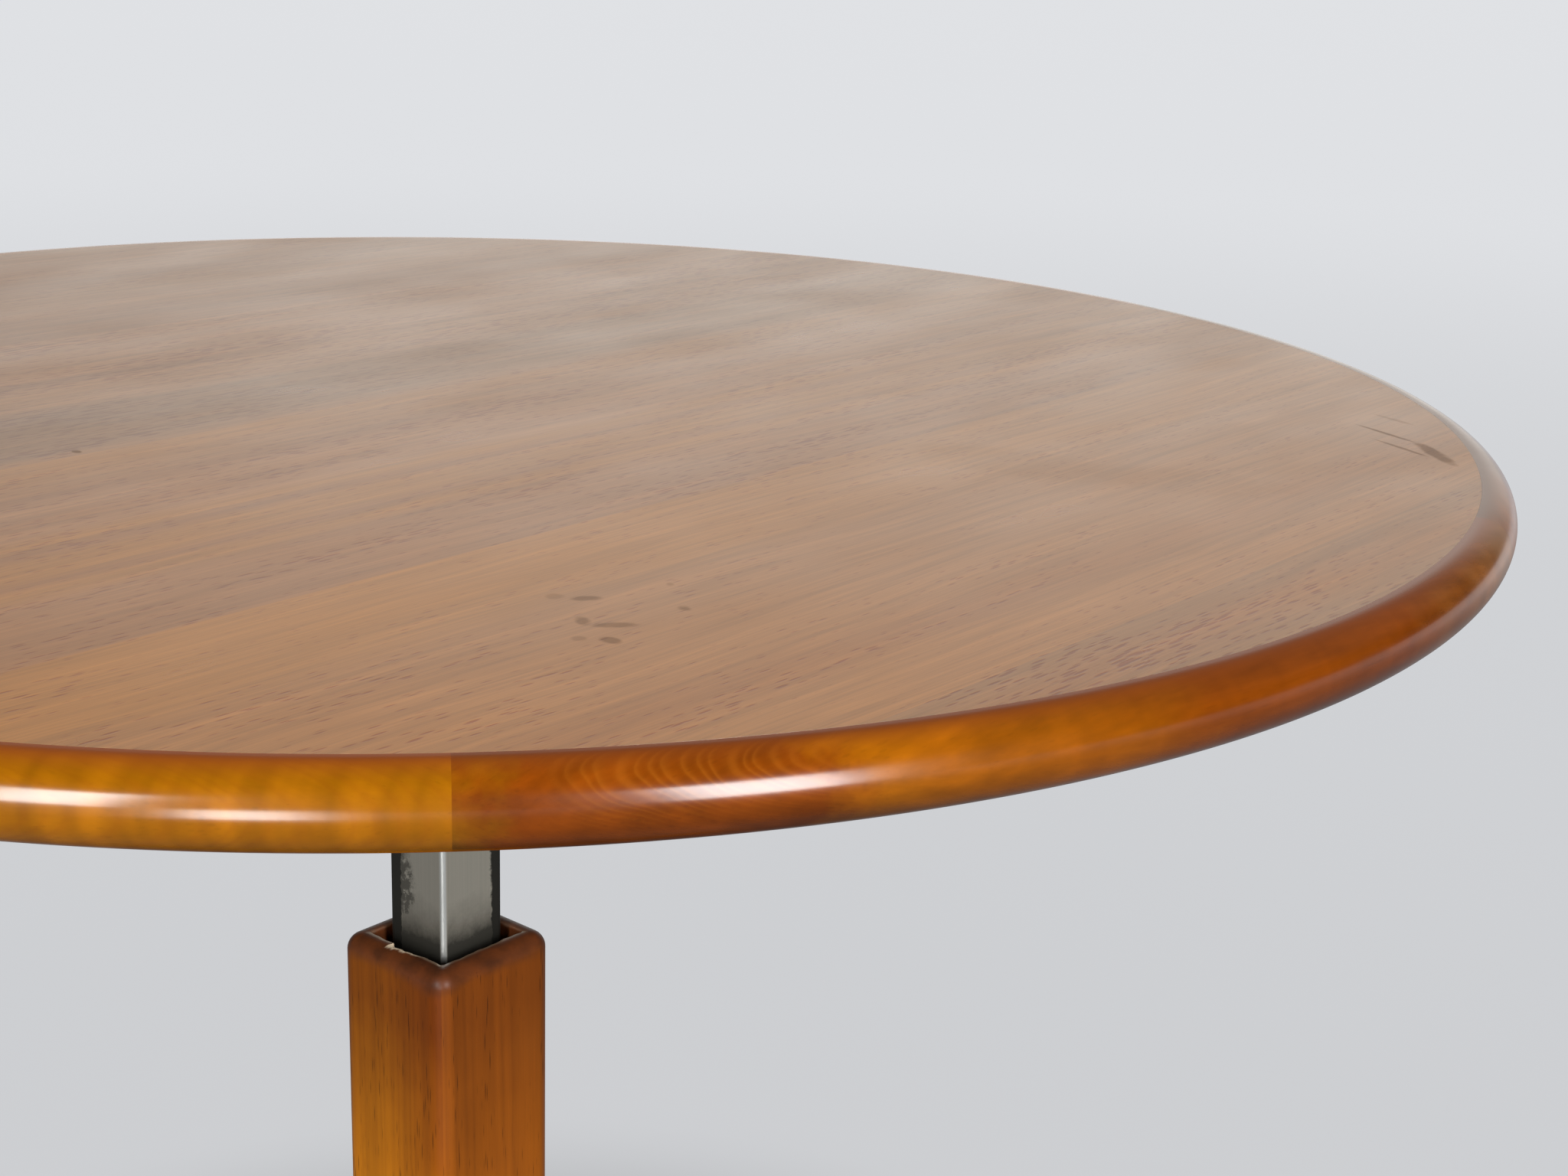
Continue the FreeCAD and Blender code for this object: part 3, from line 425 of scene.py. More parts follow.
SMEARS = (
    Mark(261.5, -356, 52, 3.6, 69, 0.34),
    Mark(241.5, -389, 56, 10.0, 48, 0.34),
    Mark(240, -373.5, 47, 3.4, 67, 0.30),
    Mark(292, -344.5, 32, 4.5, 72, 0.16),
    Mark(-184, -279, 14, 7.5, -38, 0.34),
    Mark(-190, -270, 9, 8.5, -22, 0.19),
    Mark(-202.5, -296, 13, 7.0, 60, 0.34),
    Mark(-198, -306.5, 21, 7.5, -42, 0.33),
    Mark(-210.5, -316.5, 11, 8.0, 89, 0.35),
    Mark(-216.5, -308, 7, 6.5, -44, 0.21),
    Mark(-168, -310, 6, 8.0, -29, 0.34),
    Mark(-151.5, -288, 4, 6.0, -44, 0.21),
    Mark(-190.5, 11, 7, 5.0, 88, 0.4),
    Mark(86, -268, 120, 64.0, -80, 0.05),
    Mark(112, -335, 130, 56.0, -66, 0.05),
)


@dataclass(frozen=True)
class TeakVeneer:
    """Sliced teak under satin lacquer: broad tone bands, fine lines and dark open pores along X.

    It gives the eye a warm brown that turns hazy where it mirrors the room at a low angle.
    """

    name: str
    bands: tuple[tuple[float, Tone], ...]
    pore_share: float = 0.30
    roughness: float = 0.30
    marks: tuple[Mark, ...] = ()
    crowding: Pair = (-0.20, 0.14)
    pore_tint: str = "#d8b598"
    sway_mm: float = 14.0
    drift_mm: float = 30.0
    seam_line_mm: float = 1.5
    seam_shade: float = 0.97
    fading: Pair = (-0.2, 0.4)
    faded: float = 0.4
    smear_edge: Pair = (0.06, 0.24)
    dulled: float = 0.3

    def material(self) -> bpy.types.Material:
        """The finish as a node material.

        Returns:
            The material.
        """
        made, tree, place = begin(self.name, IOR=LACQUER_IOR)
        slow = add(tree, "Mapping", {"Vector": place, "Scale": (per(285.71), per(83.333), 1.0)})
        sway = add(tree, "TexNoise", {"Vector": slow, "Scale": 1.0, "Detail": 2.0})
        bend = (sway, (0, self.sway_mm * MM, 0), place)
        grain = add(tree, "VectorMath", bend, operation="MULTIPLY_ADD")
        bands = streaks(tree, grain, (500, 11), (0.93, 1.06), 4.0)
        strips = streaks(tree, grain, (110, 3.4), (0.86, 1.13))
        lines = streaks(tree, grain, (45, 0.9), (0.85, 1.14))
        shares = tuple(self.pore_share + change for change in self.crowding)
        crowd = streaks(tree, grain, (180, 16), shares)
        # Vessels are 0.3 mm wide; drawn 1 mm wide so that they show.
        vessels = pores(tree, grain, (12, 1.8), crowd)
        open_pores = add(tree, "Mix", {0: vessels, 6: WHITE, 7: linear(self.pore_tint)}, 2, **TINT)
        line = metres(SEAM_MM - self.seam_line_mm, SEAM_MM)
        seam = add(tree, "MapRange", (plan_radius(tree, place), *line, 1.0, self.seam_shade), **SMOOTH)
        colour = shade(tree, self.banded(tree, place), bands, strips, lines, open_pores, seam)
        gloss = streaks(tree, place, (120, 60), around(self.roughness, 0.1))
        if self.marks:
            stained = self.smears(tree, place)
            clean = add(tree, "Math", (1.0, stained), operation="SUBTRACT")
            colour = shade(tree, colour, clean)
            gloss = add(tree, "Math", (stained, self.dulled, gloss), operation="MULTIPLY_ADD")
        relief = add(tree, "Math", (lines, vessels), operation="SUBTRACT")
        return close(made, colour, gloss, relief, strength=0.2, depth_mm=0.08)

    def banded(self, tree: Tree, place: Socket) -> Socket:
        """Tone bands across the leaf, their edges wandering slowly along the grain and fading towards +X.

        Args:
            tree: the node tree.
            place: coordinates in metres.

        Returns:
            The output with the banded colour.
        """
        wander = add(tree, "Mapping", {"Vector": place, "Scale": (per(625), per(111.11), 1.0)})
        drift = add(tree, "TexNoise", {"Vector": wander, "Scale": 1.0, "Detail": 4.0})
        axes = add(tree, "SeparateXYZ", (place,)).node.outputs
        moved = add(tree, "Math", (drift, self.drift_mm * MM, axes["Y"]), operation="MULTIPLY_ADD")
        stops = [((y + self.drift_mm / 2) * MM, linear(tone.value)) for y, tone in self.bands]
        strength = add(tree, "MapRange", (axes["X"], *self.fading, 1.0, self.faded))
        tones = {0: strength, 6: linear(Tone.ROSE.value), 7: graded(tree, moved, stops, "EASE")}
        return add(tree, "Mix", tones, 2, **TINT)

    def smears(self, tree: Tree, place: Socket) -> Socket:
        """Stains on the lacquer, broken up by noise.

        Args:
            tree: the node tree.
            place: coordinates in metres.

        Returns:
            The output that gives the depth of the stain.
        """
        cloud = add(tree, "TexNoise", {"Vector": place, "Scale": per(6.25), "Detail": 3.0})
        total: Socket = 0.0
        for mark in self.marks:
            middle = (mark.x * MM, mark.y * MM, float(CAD_BOX[1].z))
            half = (mark.length / 2 * MM, mark.width / 2 * MM, 1.0)
            spot = oval(tree, place, middle, half, mark.turn)
            broken = add(tree, "Math", (spot, cloud), operation="MULTIPLY")
            stain = add(tree, "MapRange", (broken, *self.smear_edge, 0.0, mark.depth))
            total = add(tree, "Math", (stain, total), operation="MAXIMUM")
        return total


class Grain(Enum):
    """Turn, in degrees about X, Y and Z, that lays the grain of a piece along X."""

    ALONG_X = (0.0, 0.0, 0.0)
    ALONG_Y = (0.0, 0.0, -90.0)
    UPRIGHT = (0.0, 90.0, 0.0)


@dataclass(frozen=True, kw_only=True)
class SolidWood:
    """Solid wood: yearly rings round a pith that runs along the grain, fibres and pores.

    It gives the eye a plain heart and, further out, arcs and streaks where a surface cuts the rings.
    """

    name: str
    light: str = "#6c3b08"
    dark: str = "#472306"
    turn: Triple = Grain.ALONG_X.value
    pith_mm: Pair
    heart_mm: float = 0.0
    heart_edge_mm: Pair = (-4.0, 2.0)
    ring_mm: float = 3.8
    contrast: float = 0.5
    uneven: float = 2.4
    swing_mm: float = 8.0
    roughness: float = 0.40
    specular: float = 0.15
    pore_share: float = 0.30
    crowding: Pair = (-0.18, 0.14)
    pore_depth: float = 0.5
    pore_mm: Pair = (16.0, 1.6)
    fibre: float = 0.1

    # Darkness over one year's growth: thin pale early wood, then late wood that darkens to its end.
    YEAR = ((0.0, 0.35), (0.18, 0.05), (0.55, 0.15), (0.85, 1.0), (1.0, 0.30))

    def material(self) -> bpy.types.Material:
        """The finish as a node material.

        Returns:
            The material.
        """
        made, tree, place = begin(self.name, IOR=LACQUER_IOR, Specular_IOR_Level=self.specular)
        angles = tuple(math.radians(angle) for angle in self.turn)
        grain = add(tree, "Mapping", {"Vector": place, "Rotation": angles})
        strips = streaks(tree, grain, (220, 14), (0.84, 1.14))
        fibres = streaks(tree, grain, (40, 0.9), around(1, self.fibre))
        shares = tuple(self.pore_share + change for change in self.crowding)
        crowd = streaks(tree, grain, (150, 12), shares)
        # Vessels are 0.3 mm wide; drawn 0.6 mm wide so that they show.
        vessels = pores(tree, grain, self.pore_mm, crowd)
        darker = add(tree, "MapRange", (vessels, 0.0, 1.0, 1.0, 1 - self.pore_depth))
        clean = shade(tree, self.ringed(tree, grain), strips, fibres, darker)
        colour = self.aged_and_shaded(tree, place, clean)
        gloss = streaks(tree, grain, (60, 30), around(self.roughness, 0.15))
        return close(made, colour, self.polished(tree, place, gloss), fibres, strength=0.15, depth_mm=0.05)

    def ringed(self, tree: Tree, grain: Socket) -> Socket:
        """Rings by distance from the pith, bent by noise and unevenly wide, plain inside the heart.

        Args:
            tree: the node tree.
            grain: coordinates in metres with the grain along X.

        Returns:
            The output with the ring colours.
        """
        bent = add(tree, "Mapping", {"Vector": grain, "Scale": (per(250), per(45.455), per(45.455))})
        wave = add(tree, "TexNoise", {"Vector": bent, "Scale": 1.0, "Detail": 3.0}, "Color")
        offset = add(tree, "VectorMath", (wave, (0.5, 0.5, 0.5)), operation="SUBTRACT")
        swing = (offset, metres(0, self.swing_mm, self.swing_mm), grain)
        warped = add(tree, "VectorMath", swing, operation="MULTIPLY_ADD")
        pith = metres(0, -self.pith_mm[0], -self.pith_mm[1])
        section = add(tree, "Mapping", {"Vector": warped, "Scale": (0.0, 1.0, 1.0), "Location": pith})
        radius = add(tree, "VectorMath", (section,), "Value", operation="LENGTH")
        years = add(tree, "Math", (radius, per(self.ring_mm)), operation="MULTIPLY")
        slow = add(tree, "TexNoise", {"W": years, "Scale": 0.35, "Detail": 1.0}, noise_dimensions="1D")
        uneven = add(tree, "Math", (slow, self.uneven, years), operation="MULTIPLY_ADD")
        season = add(tree, "Math", (uneven,), operation="FRACT")
        ring = graded(tree, season, [(time, (grey, grey, grey, 1)) for time, grey in self.YEAR], "B_SPLINE")
        heart = metres(*(self.heart_mm + edge for edge in self.heart_edge_mm))
        shown = self.figured(tree, grain, add(tree, "MapRange", (radius, *heart, 0.0, self.contrast)))
        depth = add(tree, "Math", (ring, shown), operation="MULTIPLY")
        return add(tree, "Mix", {0: depth, 6: self.ground(tree, grain), 7: linear(self.dark)}, 2, **TINT)

    def ground(self, tree: Tree, grain: Socket) -> Socket:
        """Colour between the rings, which a kind of wood may change along the grain."""
        return linear(self.light)

    def figured(self, tree: Tree, grain: Socket, contrast: Socket) -> Socket:
        """Strength of the rings, which a kind of wood may change along the grain."""
        return contrast

    def aged_and_shaded(self, tree: Tree, place: Socket, colour: Socket) -> Socket:
        """Colour with dirt, wear and painted shade, which a kind of wood may add."""
        return colour

    def polished(self, tree: Tree, place: Socket, gloss: Socket) -> Socket:
        """Roughness where hands have changed it, which a kind of wood may add."""
        return gloss


@dataclass(frozen=True, kw_only=True)
class LippingTeak(SolidWood):
    """Solid teak under gloss lacquer, redder towards the seam against the veneer, with painted shade
    darkening it underneath.

    It gives the eye a deep amber with sharp white reflections.
    """

    name: str = "gloss_teak_lipping"
    dark: str = "#74400c"
    ring_mm: float = 3.6
    contrast: float = 0.4
    roughness: float = 0.19
    specular: float = 0.22
    pore_share: float = 0.26
    pore_depth: float = 0.1
    fibre: float = 0.03
    skew: float = 0.0
    course: tuple[tuple[float, str], ...]
    drift_mm: float = 70.0
    flame: float = 0.3
    ripple: float = 0.05
    plain_mm: float = -400.0
    plain_fade_mm: float = 16.0
    ring_low_mm: float = 690.0
    ring_fade_mm: float = 10.0
    ring_least: float = 0.15
    seam_tone: str = "#7c3904"
    seam_fade_mm: float = 12.0
    # Painted shade on the lower half: the share of the colour left at the bottom, and the heights over which
    # it fades.
    under: float = 0.8
    under_mm: Pair = (704.0, 724.0)

    def ground(self, tree: Tree, grain: Socket) -> Socket:
        """Colour that changes along the segment, its borders wandering, with ripples and darker flames.

        Args:
            tree: the node tree.
            grain: coordinates in metres with the grain along X.

        Returns:
            The output with the colour.
        """
        along = add(tree, "SeparateXYZ", (grain,), "X")
        cloud = add(tree, "TexNoise", {"Vector": grain, "Scale": per(22.222), "Detail": 4.0})
        moved = add(tree, "Math", (cloud, self.drift_mm * MM, along), operation="MULTIPLY_ADD")
        stops = [((x + self.drift_mm / 2) * MM, linear(code)) for x, code in self.course]
        ripples = streaks(tree, grain, (7, 60), around(1, self.ripple), 1.0)
        flecks = streaks(tree, grain, (26, 4), (1 - self.flame / 2, 1 + self.flame / 4))
        flames = streaks(tree, grain, (70, 11), (1 - self.flame, 1 + self.flame / 3), 5.0)
        return shade(tree, graded(tree, moved, stops), ripples, flecks, flames)

    def figured(self, tree: Tree, grain: Socket, contrast: Socket) -> Socket:
        """Leave out the rings before a place along the grain, and nearly so below a height.

        Args:
            tree: the node tree.
            grain: coordinates in metres with the grain along X.
            contrast: the output with the strength by distance from the pith.

        Returns:
            The output with the strength.
        """
        axes = add(tree, "SeparateXYZ", (grain,)).node.outputs
        start = metres(self.plain_mm, self.plain_mm + self.plain_fade_mm)
        begun = add(tree, "MapRange", (axes["X"], *start), **SMOOTH)
        shown = add(tree, "Math", (contrast, begun), operation="MULTIPLY")
        rise = metres(self.ring_low_mm, self.ring_low_mm + self.ring_fade_mm)
        upper = add(tree, "MapRange", (axes["Z"], *rise, self.ring_least))
        return add(tree, "Math", (shown, upper), operation="MULTIPLY")

    def aged_and_shaded(self, tree: Tree, place: Socket, colour: Socket) -> Socket:
        """Redden the wood along its seam and paint shade over its lower half.

        Args:
            tree: the node tree.
            place: coordinates in metres.
            colour: the output with the clean colour.

        Returns:
            The output with the reddened and shaded colour.
        """
        reddened = metres(SEAM_MM, SEAM_MM + self.seam_fade_mm)
        clear = add(tree, "MapRange", (plan_radius(tree, place), *reddened), **SMOOTH)
        colour = add(tree, "Mix", {0: clear, 6: linear(self.seam_tone), 7: colour}, 2, **TINT)
        # Painted shade, darker towards the underside of the nose.
        height = add(tree, "SeparateXYZ", (place,), "Z")
        return shade(tree, colour, add(tree, "MapRange", (height, *metres(*self.under_mm), self.under)))


@dataclass(frozen=True, kw_only=True)
class StaveTeak(SolidWood):
    """Solid teak under worn satin lacquer: painted shade from the table top darkens and browns it towards a
    dark lip, bare on its inner edge.

    It gives the eye a dull orange brown that turns golden lower down.
    """

    turn: Triple = Grain.UPRIGHT.value
    ring_mm: float = 4.2
    contrast: float = 0.35
    roughness: float = 0.42
    specular: float = 0.1
    pore_share: float = 0.25
    pore_depth: float = 0.6
    pore_mm: Pair = (22.0, 1.3)
    fibre: float = 0.06
    top: float
    # Painted shade from the table top: tint over the upper part, heights below the lip over which it comes
    # in, and how far noise moves them.
    top_shade_tint: str
    top_shade_mm: Pair = (-110.0, -10.0)
    top_shade_drift_mm: float = 40.0
    corner_tint: str
    corner_mm: Pair = (4.0, -34.0)
    dirt: tuple[str, str] = ("#2c160b", "#41200e")
    dirt_mm: Pair = (-7.0, 2.0)
    dirt_drift_mm: float = 12.0
    dirt_most: float = 0.9
    bare: str = "#a89a84"
    rubbed_mm: Pair = (-30.0, -6.0)
    rubbed: float = 0.42

    def near_lip(self, reach_mm: Pair) -> tuple[float, ...]:
        """Heights in metres of two places that are given in millimetres from the lip."""
        return tuple(self.top + edge * MM for edge in reach_mm)

    def aged_and_shaded(self, tree: Tree, place: Socket, colour: Socket) -> Socket:
        """Paint shade from the table top over the upper part, darken the lip with dirt and bare the chipped
        inner edge.

        Args:
            tree: the node tree.
            place: coordinates in metres.
            colour: the output with the clean colour.

        Returns:
            The output with the dirty, worn and shaded colour.
        """
        axes = add(tree, "SeparateXYZ", (place,)).node.outputs
        corner = add(tree, "MapRange", (axes["Y"], *metres(*self.corner_mm)))
        cooler = add(tree, "Mix", {0: corner, 6: WHITE, 7: linear(self.corner_tint)}, 2, **TINT)
        cloud = add(tree, "TexNoise", {"Vector": place, "Scale": per(26.316), "Detail": 4.0})
        # Painted shade from the table top, darker and browner towards the lip.
        lifted = add(tree, "Math", (cloud, self.top_shade_drift_mm * MM, axes["Z"]), operation="MULTIPLY_ADD")
        top_shade_share = add(tree, "MapRange", (lifted, *self.near_lip(self.top_shade_mm)))
        top_shaded = add(tree, "Mix", {0: top_shade_share, 6: WHITE, 7: linear(self.top_shade_tint)}, 2, **TINT)
        colour = shade(tree, colour, cooler, top_shaded)
        near = add(tree, "Math", (cloud, self.dirt_drift_mm * MM, axes["Z"]), operation="MULTIPLY_ADD")
        grime = add(tree, "MapRange", (near, *self.near_lip(self.dirt_mm), 0.0, self.dirt_most), **SMOOTH)
        blots = add(tree, "TexNoise", {"Vector": place, "Scale": per(11.111), "Detail": 5.0})
        patchy = add(tree, "MapRange", (blots, *PATCH_SPAN))
        dirt = add(tree, "Mix", {0: patchy, 6: linear(self.dirt[0]), 7: linear(self.dirt[1])}, 2, **TINT)
        colour = add(tree, "Mix", {0: grime, 6: colour, 7: dirt}, 2, **TINT)
        torn = add(tree, "Attribute", out="Fac", attribute_name="wear")
        return add(tree, "Mix", {0: torn, 6: colour, 7: linear(self.bare)}, 2, **TINT)

    def polished(self, tree: Tree, place: Socket, gloss: Socket) -> Socket:
        """Even out the gloss towards the lip, where hands rub it.

        Args:
            tree: the node tree.
            place: coordinates in metres.
            gloss: the output with the roughness of the lacquer.

        Returns:
            The output with the roughness.
        """
        height = add(tree, "SeparateXYZ", (place,), "Z")
        share = add(tree, "MapRange", (height, *self.near_lip(self.rubbed_mm)))
        return add(tree, "Mix", {0: share, 2: gloss, 3: self.rubbed})


@dataclass(frozen=True)
class DrawnSteel:
    """Bright drawn steel: upright draw lines, black grease along two opposite corners, and grease with
    painted shade at the mouth.

    It gives the eye a dull grey-beige sheen with one clean bright corner, a painted highlight, and its faces
    towards -Y and +X painted lighter.
    """

    name: str
    mouth: float
    tones: tuple[str, str] = ("#bbb6a7", "#c4bdae")
    # Tone of a painted highlight down the near corner, and its reach across X plus Y.
    painted_highlight_tone: str = "#c4c5c1"
    painted_highlight_mm: Pair = (-37.3, -37.9)
    # Painted light: faces where X exceeds Y by this reach are made this much lighter.
    painted_side_light: float = 1.26
    painted_side_light_mm: Pair = (1.0, 2.5)
    # Grease colour, also used for the painted shade round the mouth.
    grease: str = "#302f2b"
    grease_mm: Pair = (34.8, 36.3)
    grease_offset_mm: float = 0.8
    grease_drift_mm: Pair = (4.0, 5.0)
    # Painted shade from the column's lip, together with grease, darkens the post towards the mouth.
    mouth_shade_and_grease: float = 0.95
    mouth_shade_mm: Pair = (20.0, -4.0)
    mouth_shade_drift_mm: float = -16.0
    mouth_shade_on_highlight: float = 0.3
    daub_place: Triple = (-0.02, 0.010, 0.480)
    daub_half: Triple = (0.006, 0.012, 0.026)
    daub: float = 0.85
    daub_edge: Pair = (0.06, 0.30)
    fray_span: Pair = (0.34, 0.64)
    roughness: Pair = (0.30, 0.55)

    def material(self) -> bpy.types.Material:
        """The finish as a node material.

        Returns:
            The material.
        """
        made, tree, place = begin(self.name, Metallic=1.0)
        turn = tuple(math.radians(angle) for angle in Grain.UPRIGHT.value)
        upright = add(tree, "Mapping", {"Vector": place, "Rotation": turn})
        lines = streaks(tree, upright, (160, 0.7), (0.0, 1.0))
        axes = add(tree, "SeparateXYZ", (place,)).node.outputs
        corner = add(tree, "Math", (axes["X"], axes["Y"]), operation="ADD")
        # Painted highlight down the near corner.
        painted_highlight = add(tree, "MapRange", (corner, *metres(*self.painted_highlight_mm)))
        skew = add(tree, "Math", (axes["X"], axes["Y"]), operation="SUBTRACT")
        drawn = {0: lines, 6: linear(self.tones[0]), 7: linear(self.tones[1])}
        bright = {0: painted_highlight, 6: add(tree, "Mix", drawn, 2, **TINT), 7: linear(self.painted_highlight_tone)}
        # Painted light: the faces towards -Y and +X lighter.
        painted_side_light = add(tree, "MapRange", (skew, *metres(*self.painted_side_light_mm), 1.0, self.painted_side_light))
        steel = shade(tree, add(tree, "Mix", bright, 2, **TINT), painted_side_light)
        grease_and_shade = self.greased_and_shaded(tree, place, skew, painted_highlight)
        colour = add(tree, "Mix", {0: grease_and_shade, 6: steel, 7: linear(self.grease)}, 2, **TINT)
        gloss = add(tree, "MapRange", (grease_and_shade, 0.0, 1.0, *self.roughness))
        return close(made, colour, gloss, lines, strength=0.1, depth_mm=0.05)

    def greased_and_shaded(self, tree: Tree, place: Socket, skew: Socket, painted_highlight: Socket) -> Socket:
        """Grease in frayed stripes along two corners and daubed on one face, with painted shade and grease
        round the mouth.

        Args:
            tree: the node tree.
            place: coordinates in metres.
            skew: the output that grows from one greasy corner to the other.
            painted_highlight: the output that is 1 on the clean corner, where a highlight is painted.

        Returns:
            The output that is 1 where the steel is black with grease or painted shade.
        """
        shifted = add(tree, "Math", (skew, self.grease_offset_mm * MM), operation="SUBTRACT")
        reach = add(tree, "Math", (shifted,), operation="ABSOLUTE")
        rough = {"Vector": place, "Detail": 6.0}
        cloud = add(tree, "TexNoise", {**rough, "Scale": per(14.286), "Roughness": 0.7})
        fray = add(tree, "TexNoise", {**rough, "Scale": per(4.7619), "Roughness": 0.75})
        for noise, drift_mm in zip((cloud, fray), self.grease_drift_mm):
            reach = add(tree, "Math", (noise, drift_mm * MM, reach), operation="MULTIPLY_ADD")
        stripes = add(tree, "MapRange", (reach, *metres(*self.grease_mm)))
        height = add(tree, "SeparateXYZ", (place,), "Z")
        # Towards the mouth: painted shade from the column's lip, together with grease.
        near = add(tree, "Math", (cloud, self.mouth_shade_drift_mm * MM, height), operation="MULTIPLY_ADD")
        start, end = (self.mouth + edge * MM for edge in self.mouth_shade_mm)
        mouth_darkening = add(tree, "MapRange", (near, start, end, 0.0, self.mouth_shade_and_grease))
        # Less of the mouth's painted shade on the corner with the painted highlight.
        clean = add(tree, "MapRange", (painted_highlight, 0.0, 1.0, 1.0, self.mouth_shade_on_highlight))
        mouth_shade_and_grease = add(tree, "Math", (mouth_darkening, clean), operation="MULTIPLY")
        spot = oval(tree, place, self.daub_place, self.daub_half)
        torn = add(tree, "MapRange", (fray, *self.fray_span))
        broken = add(tree, "Math", (spot, torn), operation="MULTIPLY")
        daubed = add(tree, "MapRange", (broken, *self.daub_edge, 0.0, self.daub))
        grease_and_shade = add(tree, "Math", (stripes, mouth_shade_and_grease), operation="MAXIMUM")
        return add(tree, "Math", (grease_and_shade, daubed), operation="MAXIMUM")


@dataclass(frozen=True)
class Mottled:
    """Surface of two close tones in soft patches, with a fine skin.

    Stoved enamel, zinc plate, chrome, nylon and moulded plastic differ in tones, patch size, skin and gloss.
    """

    name: str
    tones: tuple[str, str]
    patch_mm: float
    skin_mm: float
    roughness: Pair
    relief: float
    metallic: float = 0.0

    SKIN_SPAN = (0.3, 0.7)

    def material(self) -> bpy.types.Material:
        """The finish as a node material.

        Returns:
            The material.
        """
        made, tree, place = begin(self.name, Metallic=self.metallic)
        patches = add(tree, "TexNoise", {"Vector": place, "Scale": per(self.patch_mm), "Detail": 4.0})
        share = add(tree, "MapRange", (patches, *PATCH_SPAN))
        colour = add(tree, "Mix", {0: share, 6: linear(self.tones[0]), 7: linear(self.tones[1])}, 2, **TINT)
        skin = add(tree, "TexNoise", {"Vector": place, "Scale": per(self.skin_mm), "Detail": 2.0})
        gloss = add(tree, "MapRange", (skin, *self.SKIN_SPAN, *self.roughness))
        return close(made, colour, gloss, skin, self.relief, depth_mm=0.1)


@dataclass(frozen=True)
class PressedChips:
    """Board of pressed wood chips: cells of many close tones.

    It gives the eye a speckled brown.
    """

    name: str
    tones: tuple[str, str, str]
    chip_mm: float

    def material(self) -> bpy.types.Material:
        """The finish as a node material.

        Returns:
            The material.
        """
        made, tree, place = begin(self.name, Roughness=0.85)
        chips = add(tree, "TexVoronoi", {"Vector": place, "Scale": per(self.chip_mm)}).node.outputs
        stops = [(share, linear(code)) for share, code in zip((0.0, 0.5, 1.0), self.tones)]
        colour = graded(tree, chips["Color"], stops)
        return close(made, colour, None, chips["Distance"], strength=0.4, depth_mm=0.3)


# Sub-assemblies


@dataclass
class Lipping:
    """Ring of solid teak round the top, in segments glued end to end."""

    radius: float
    underside: float
    face: float
    width: float = 16 * MM
    arris: float = 0.03 * MM
    first_joint: float = 48.5
    sweep: float = 60.0
    steps: int = 72
    nose_steps: int = 36

    def segment(self, start: float) -> Shape:
        """One segment: the section, flat inside and half round outside, turned about the middle of the top.

        Args:
            start: the angle where it begins, in degrees.

        Returns:
            Its points and faces.
        """
        half = (self.face - self.underside) / 2
        bend = np.linspace(math.pi / 2, -math.pi / 2, self.nose_steps)
        inner = self.radius - self.width
        nose_across = self.radius - half + half * np.cos(bend)
        nose_height = self.underside + half + half * np.sin(bend)
        across = np.concatenate([[inner, inner + self.arris], nose_across, [inner]])
        height = np.concatenate([[self.face - self.arris, self.face], nose_height, [self.underside]])
        angle = np.radians(np.linspace(start, start + self.sweep, self.steps + 1))[:, None]
        level = np.broadcast_to(height, (len(angle), len(height)))
        return swept(np.stack([across * np.cos(angle), across * np.sin(angle), level], -1))

    def boards(self) -> tuple[LippingTeak, ...]:
        """Timber of each segment: where its pith lies, its rings, its skew and its colours along the grain.

        Returns:
            The finishes in the order of the segments.
        """
        # The last, paler and greyer tone of the mixed course is a painted reflection of the backdrop.
        golden, amber, russet, tawny, painted_haze = "#6e3c02", "#572602", "#582702", "#663c02", "#6d4828"
        even = ((-300, golden), (-60, amber), (80, golden), (300, amber))
        plain = ((-300, tawny), (300, tawny))
        mixed = (
            (-298, tawny), (-288, tawny), (-269, amber), (-196, amber), (-182, golden), (-155, "#6b3902"),
            (-110, "#693602"), (-85, "#663302"), (-50, "#5b2902"), (60, russet), (120, "#643711"),
            (170, painted_haze), (300, painted_haze),
        )
        # under sets the painted shade on each segment's lower half.
        return (
            LippingTeak(pith_mm=(-470, 760), heart_mm=41, course=even),
            LippingTeak(pith_mm=(-450, 790), heart_mm=50, course=even, skew=-4.0),
            LippingTeak(
                pith_mm=(-100, 717), dark="#5a2d03", contrast=0.3, course=plain, flame=0.1, ripple=0.17,
                under=0.62,
            ),
            LippingTeak(
                pith_mm=(-530, 848), heart_mm=149, ring_mm=1.5, contrast=0.36, uneven=1.5, course=mixed,
                skew=6.0, plain_mm=-268, ring_low_mm=712, seam_tone="#6e3203", under=0.36,
            ),
            LippingTeak(
                pith_mm=(-480, 765), heart_mm=45, course=even, skew=-3.0, seam_tone="#5a3010", under=0.7,
            ),
            LippingTeak(pith_mm=(-452, 785), heart_mm=48, course=even, skew=5.0),
        )

    def build(self) -> None:
        """Make and dress all segments."""
        for index, board in enumerate(self.boards(), 1):
            start = self.first_joint + (index - 1) * self.sweep
            middle = start + self.sweep / 2 + board.skew
            teak = replace(board, name=f"{board.name}_{index}", turn=(0, 0, -90 - middle))
            name = f"lipping_segment_{index}"
            piece(name, self.segment(start), teak.material(), "top", (f"lipping_{index}",))


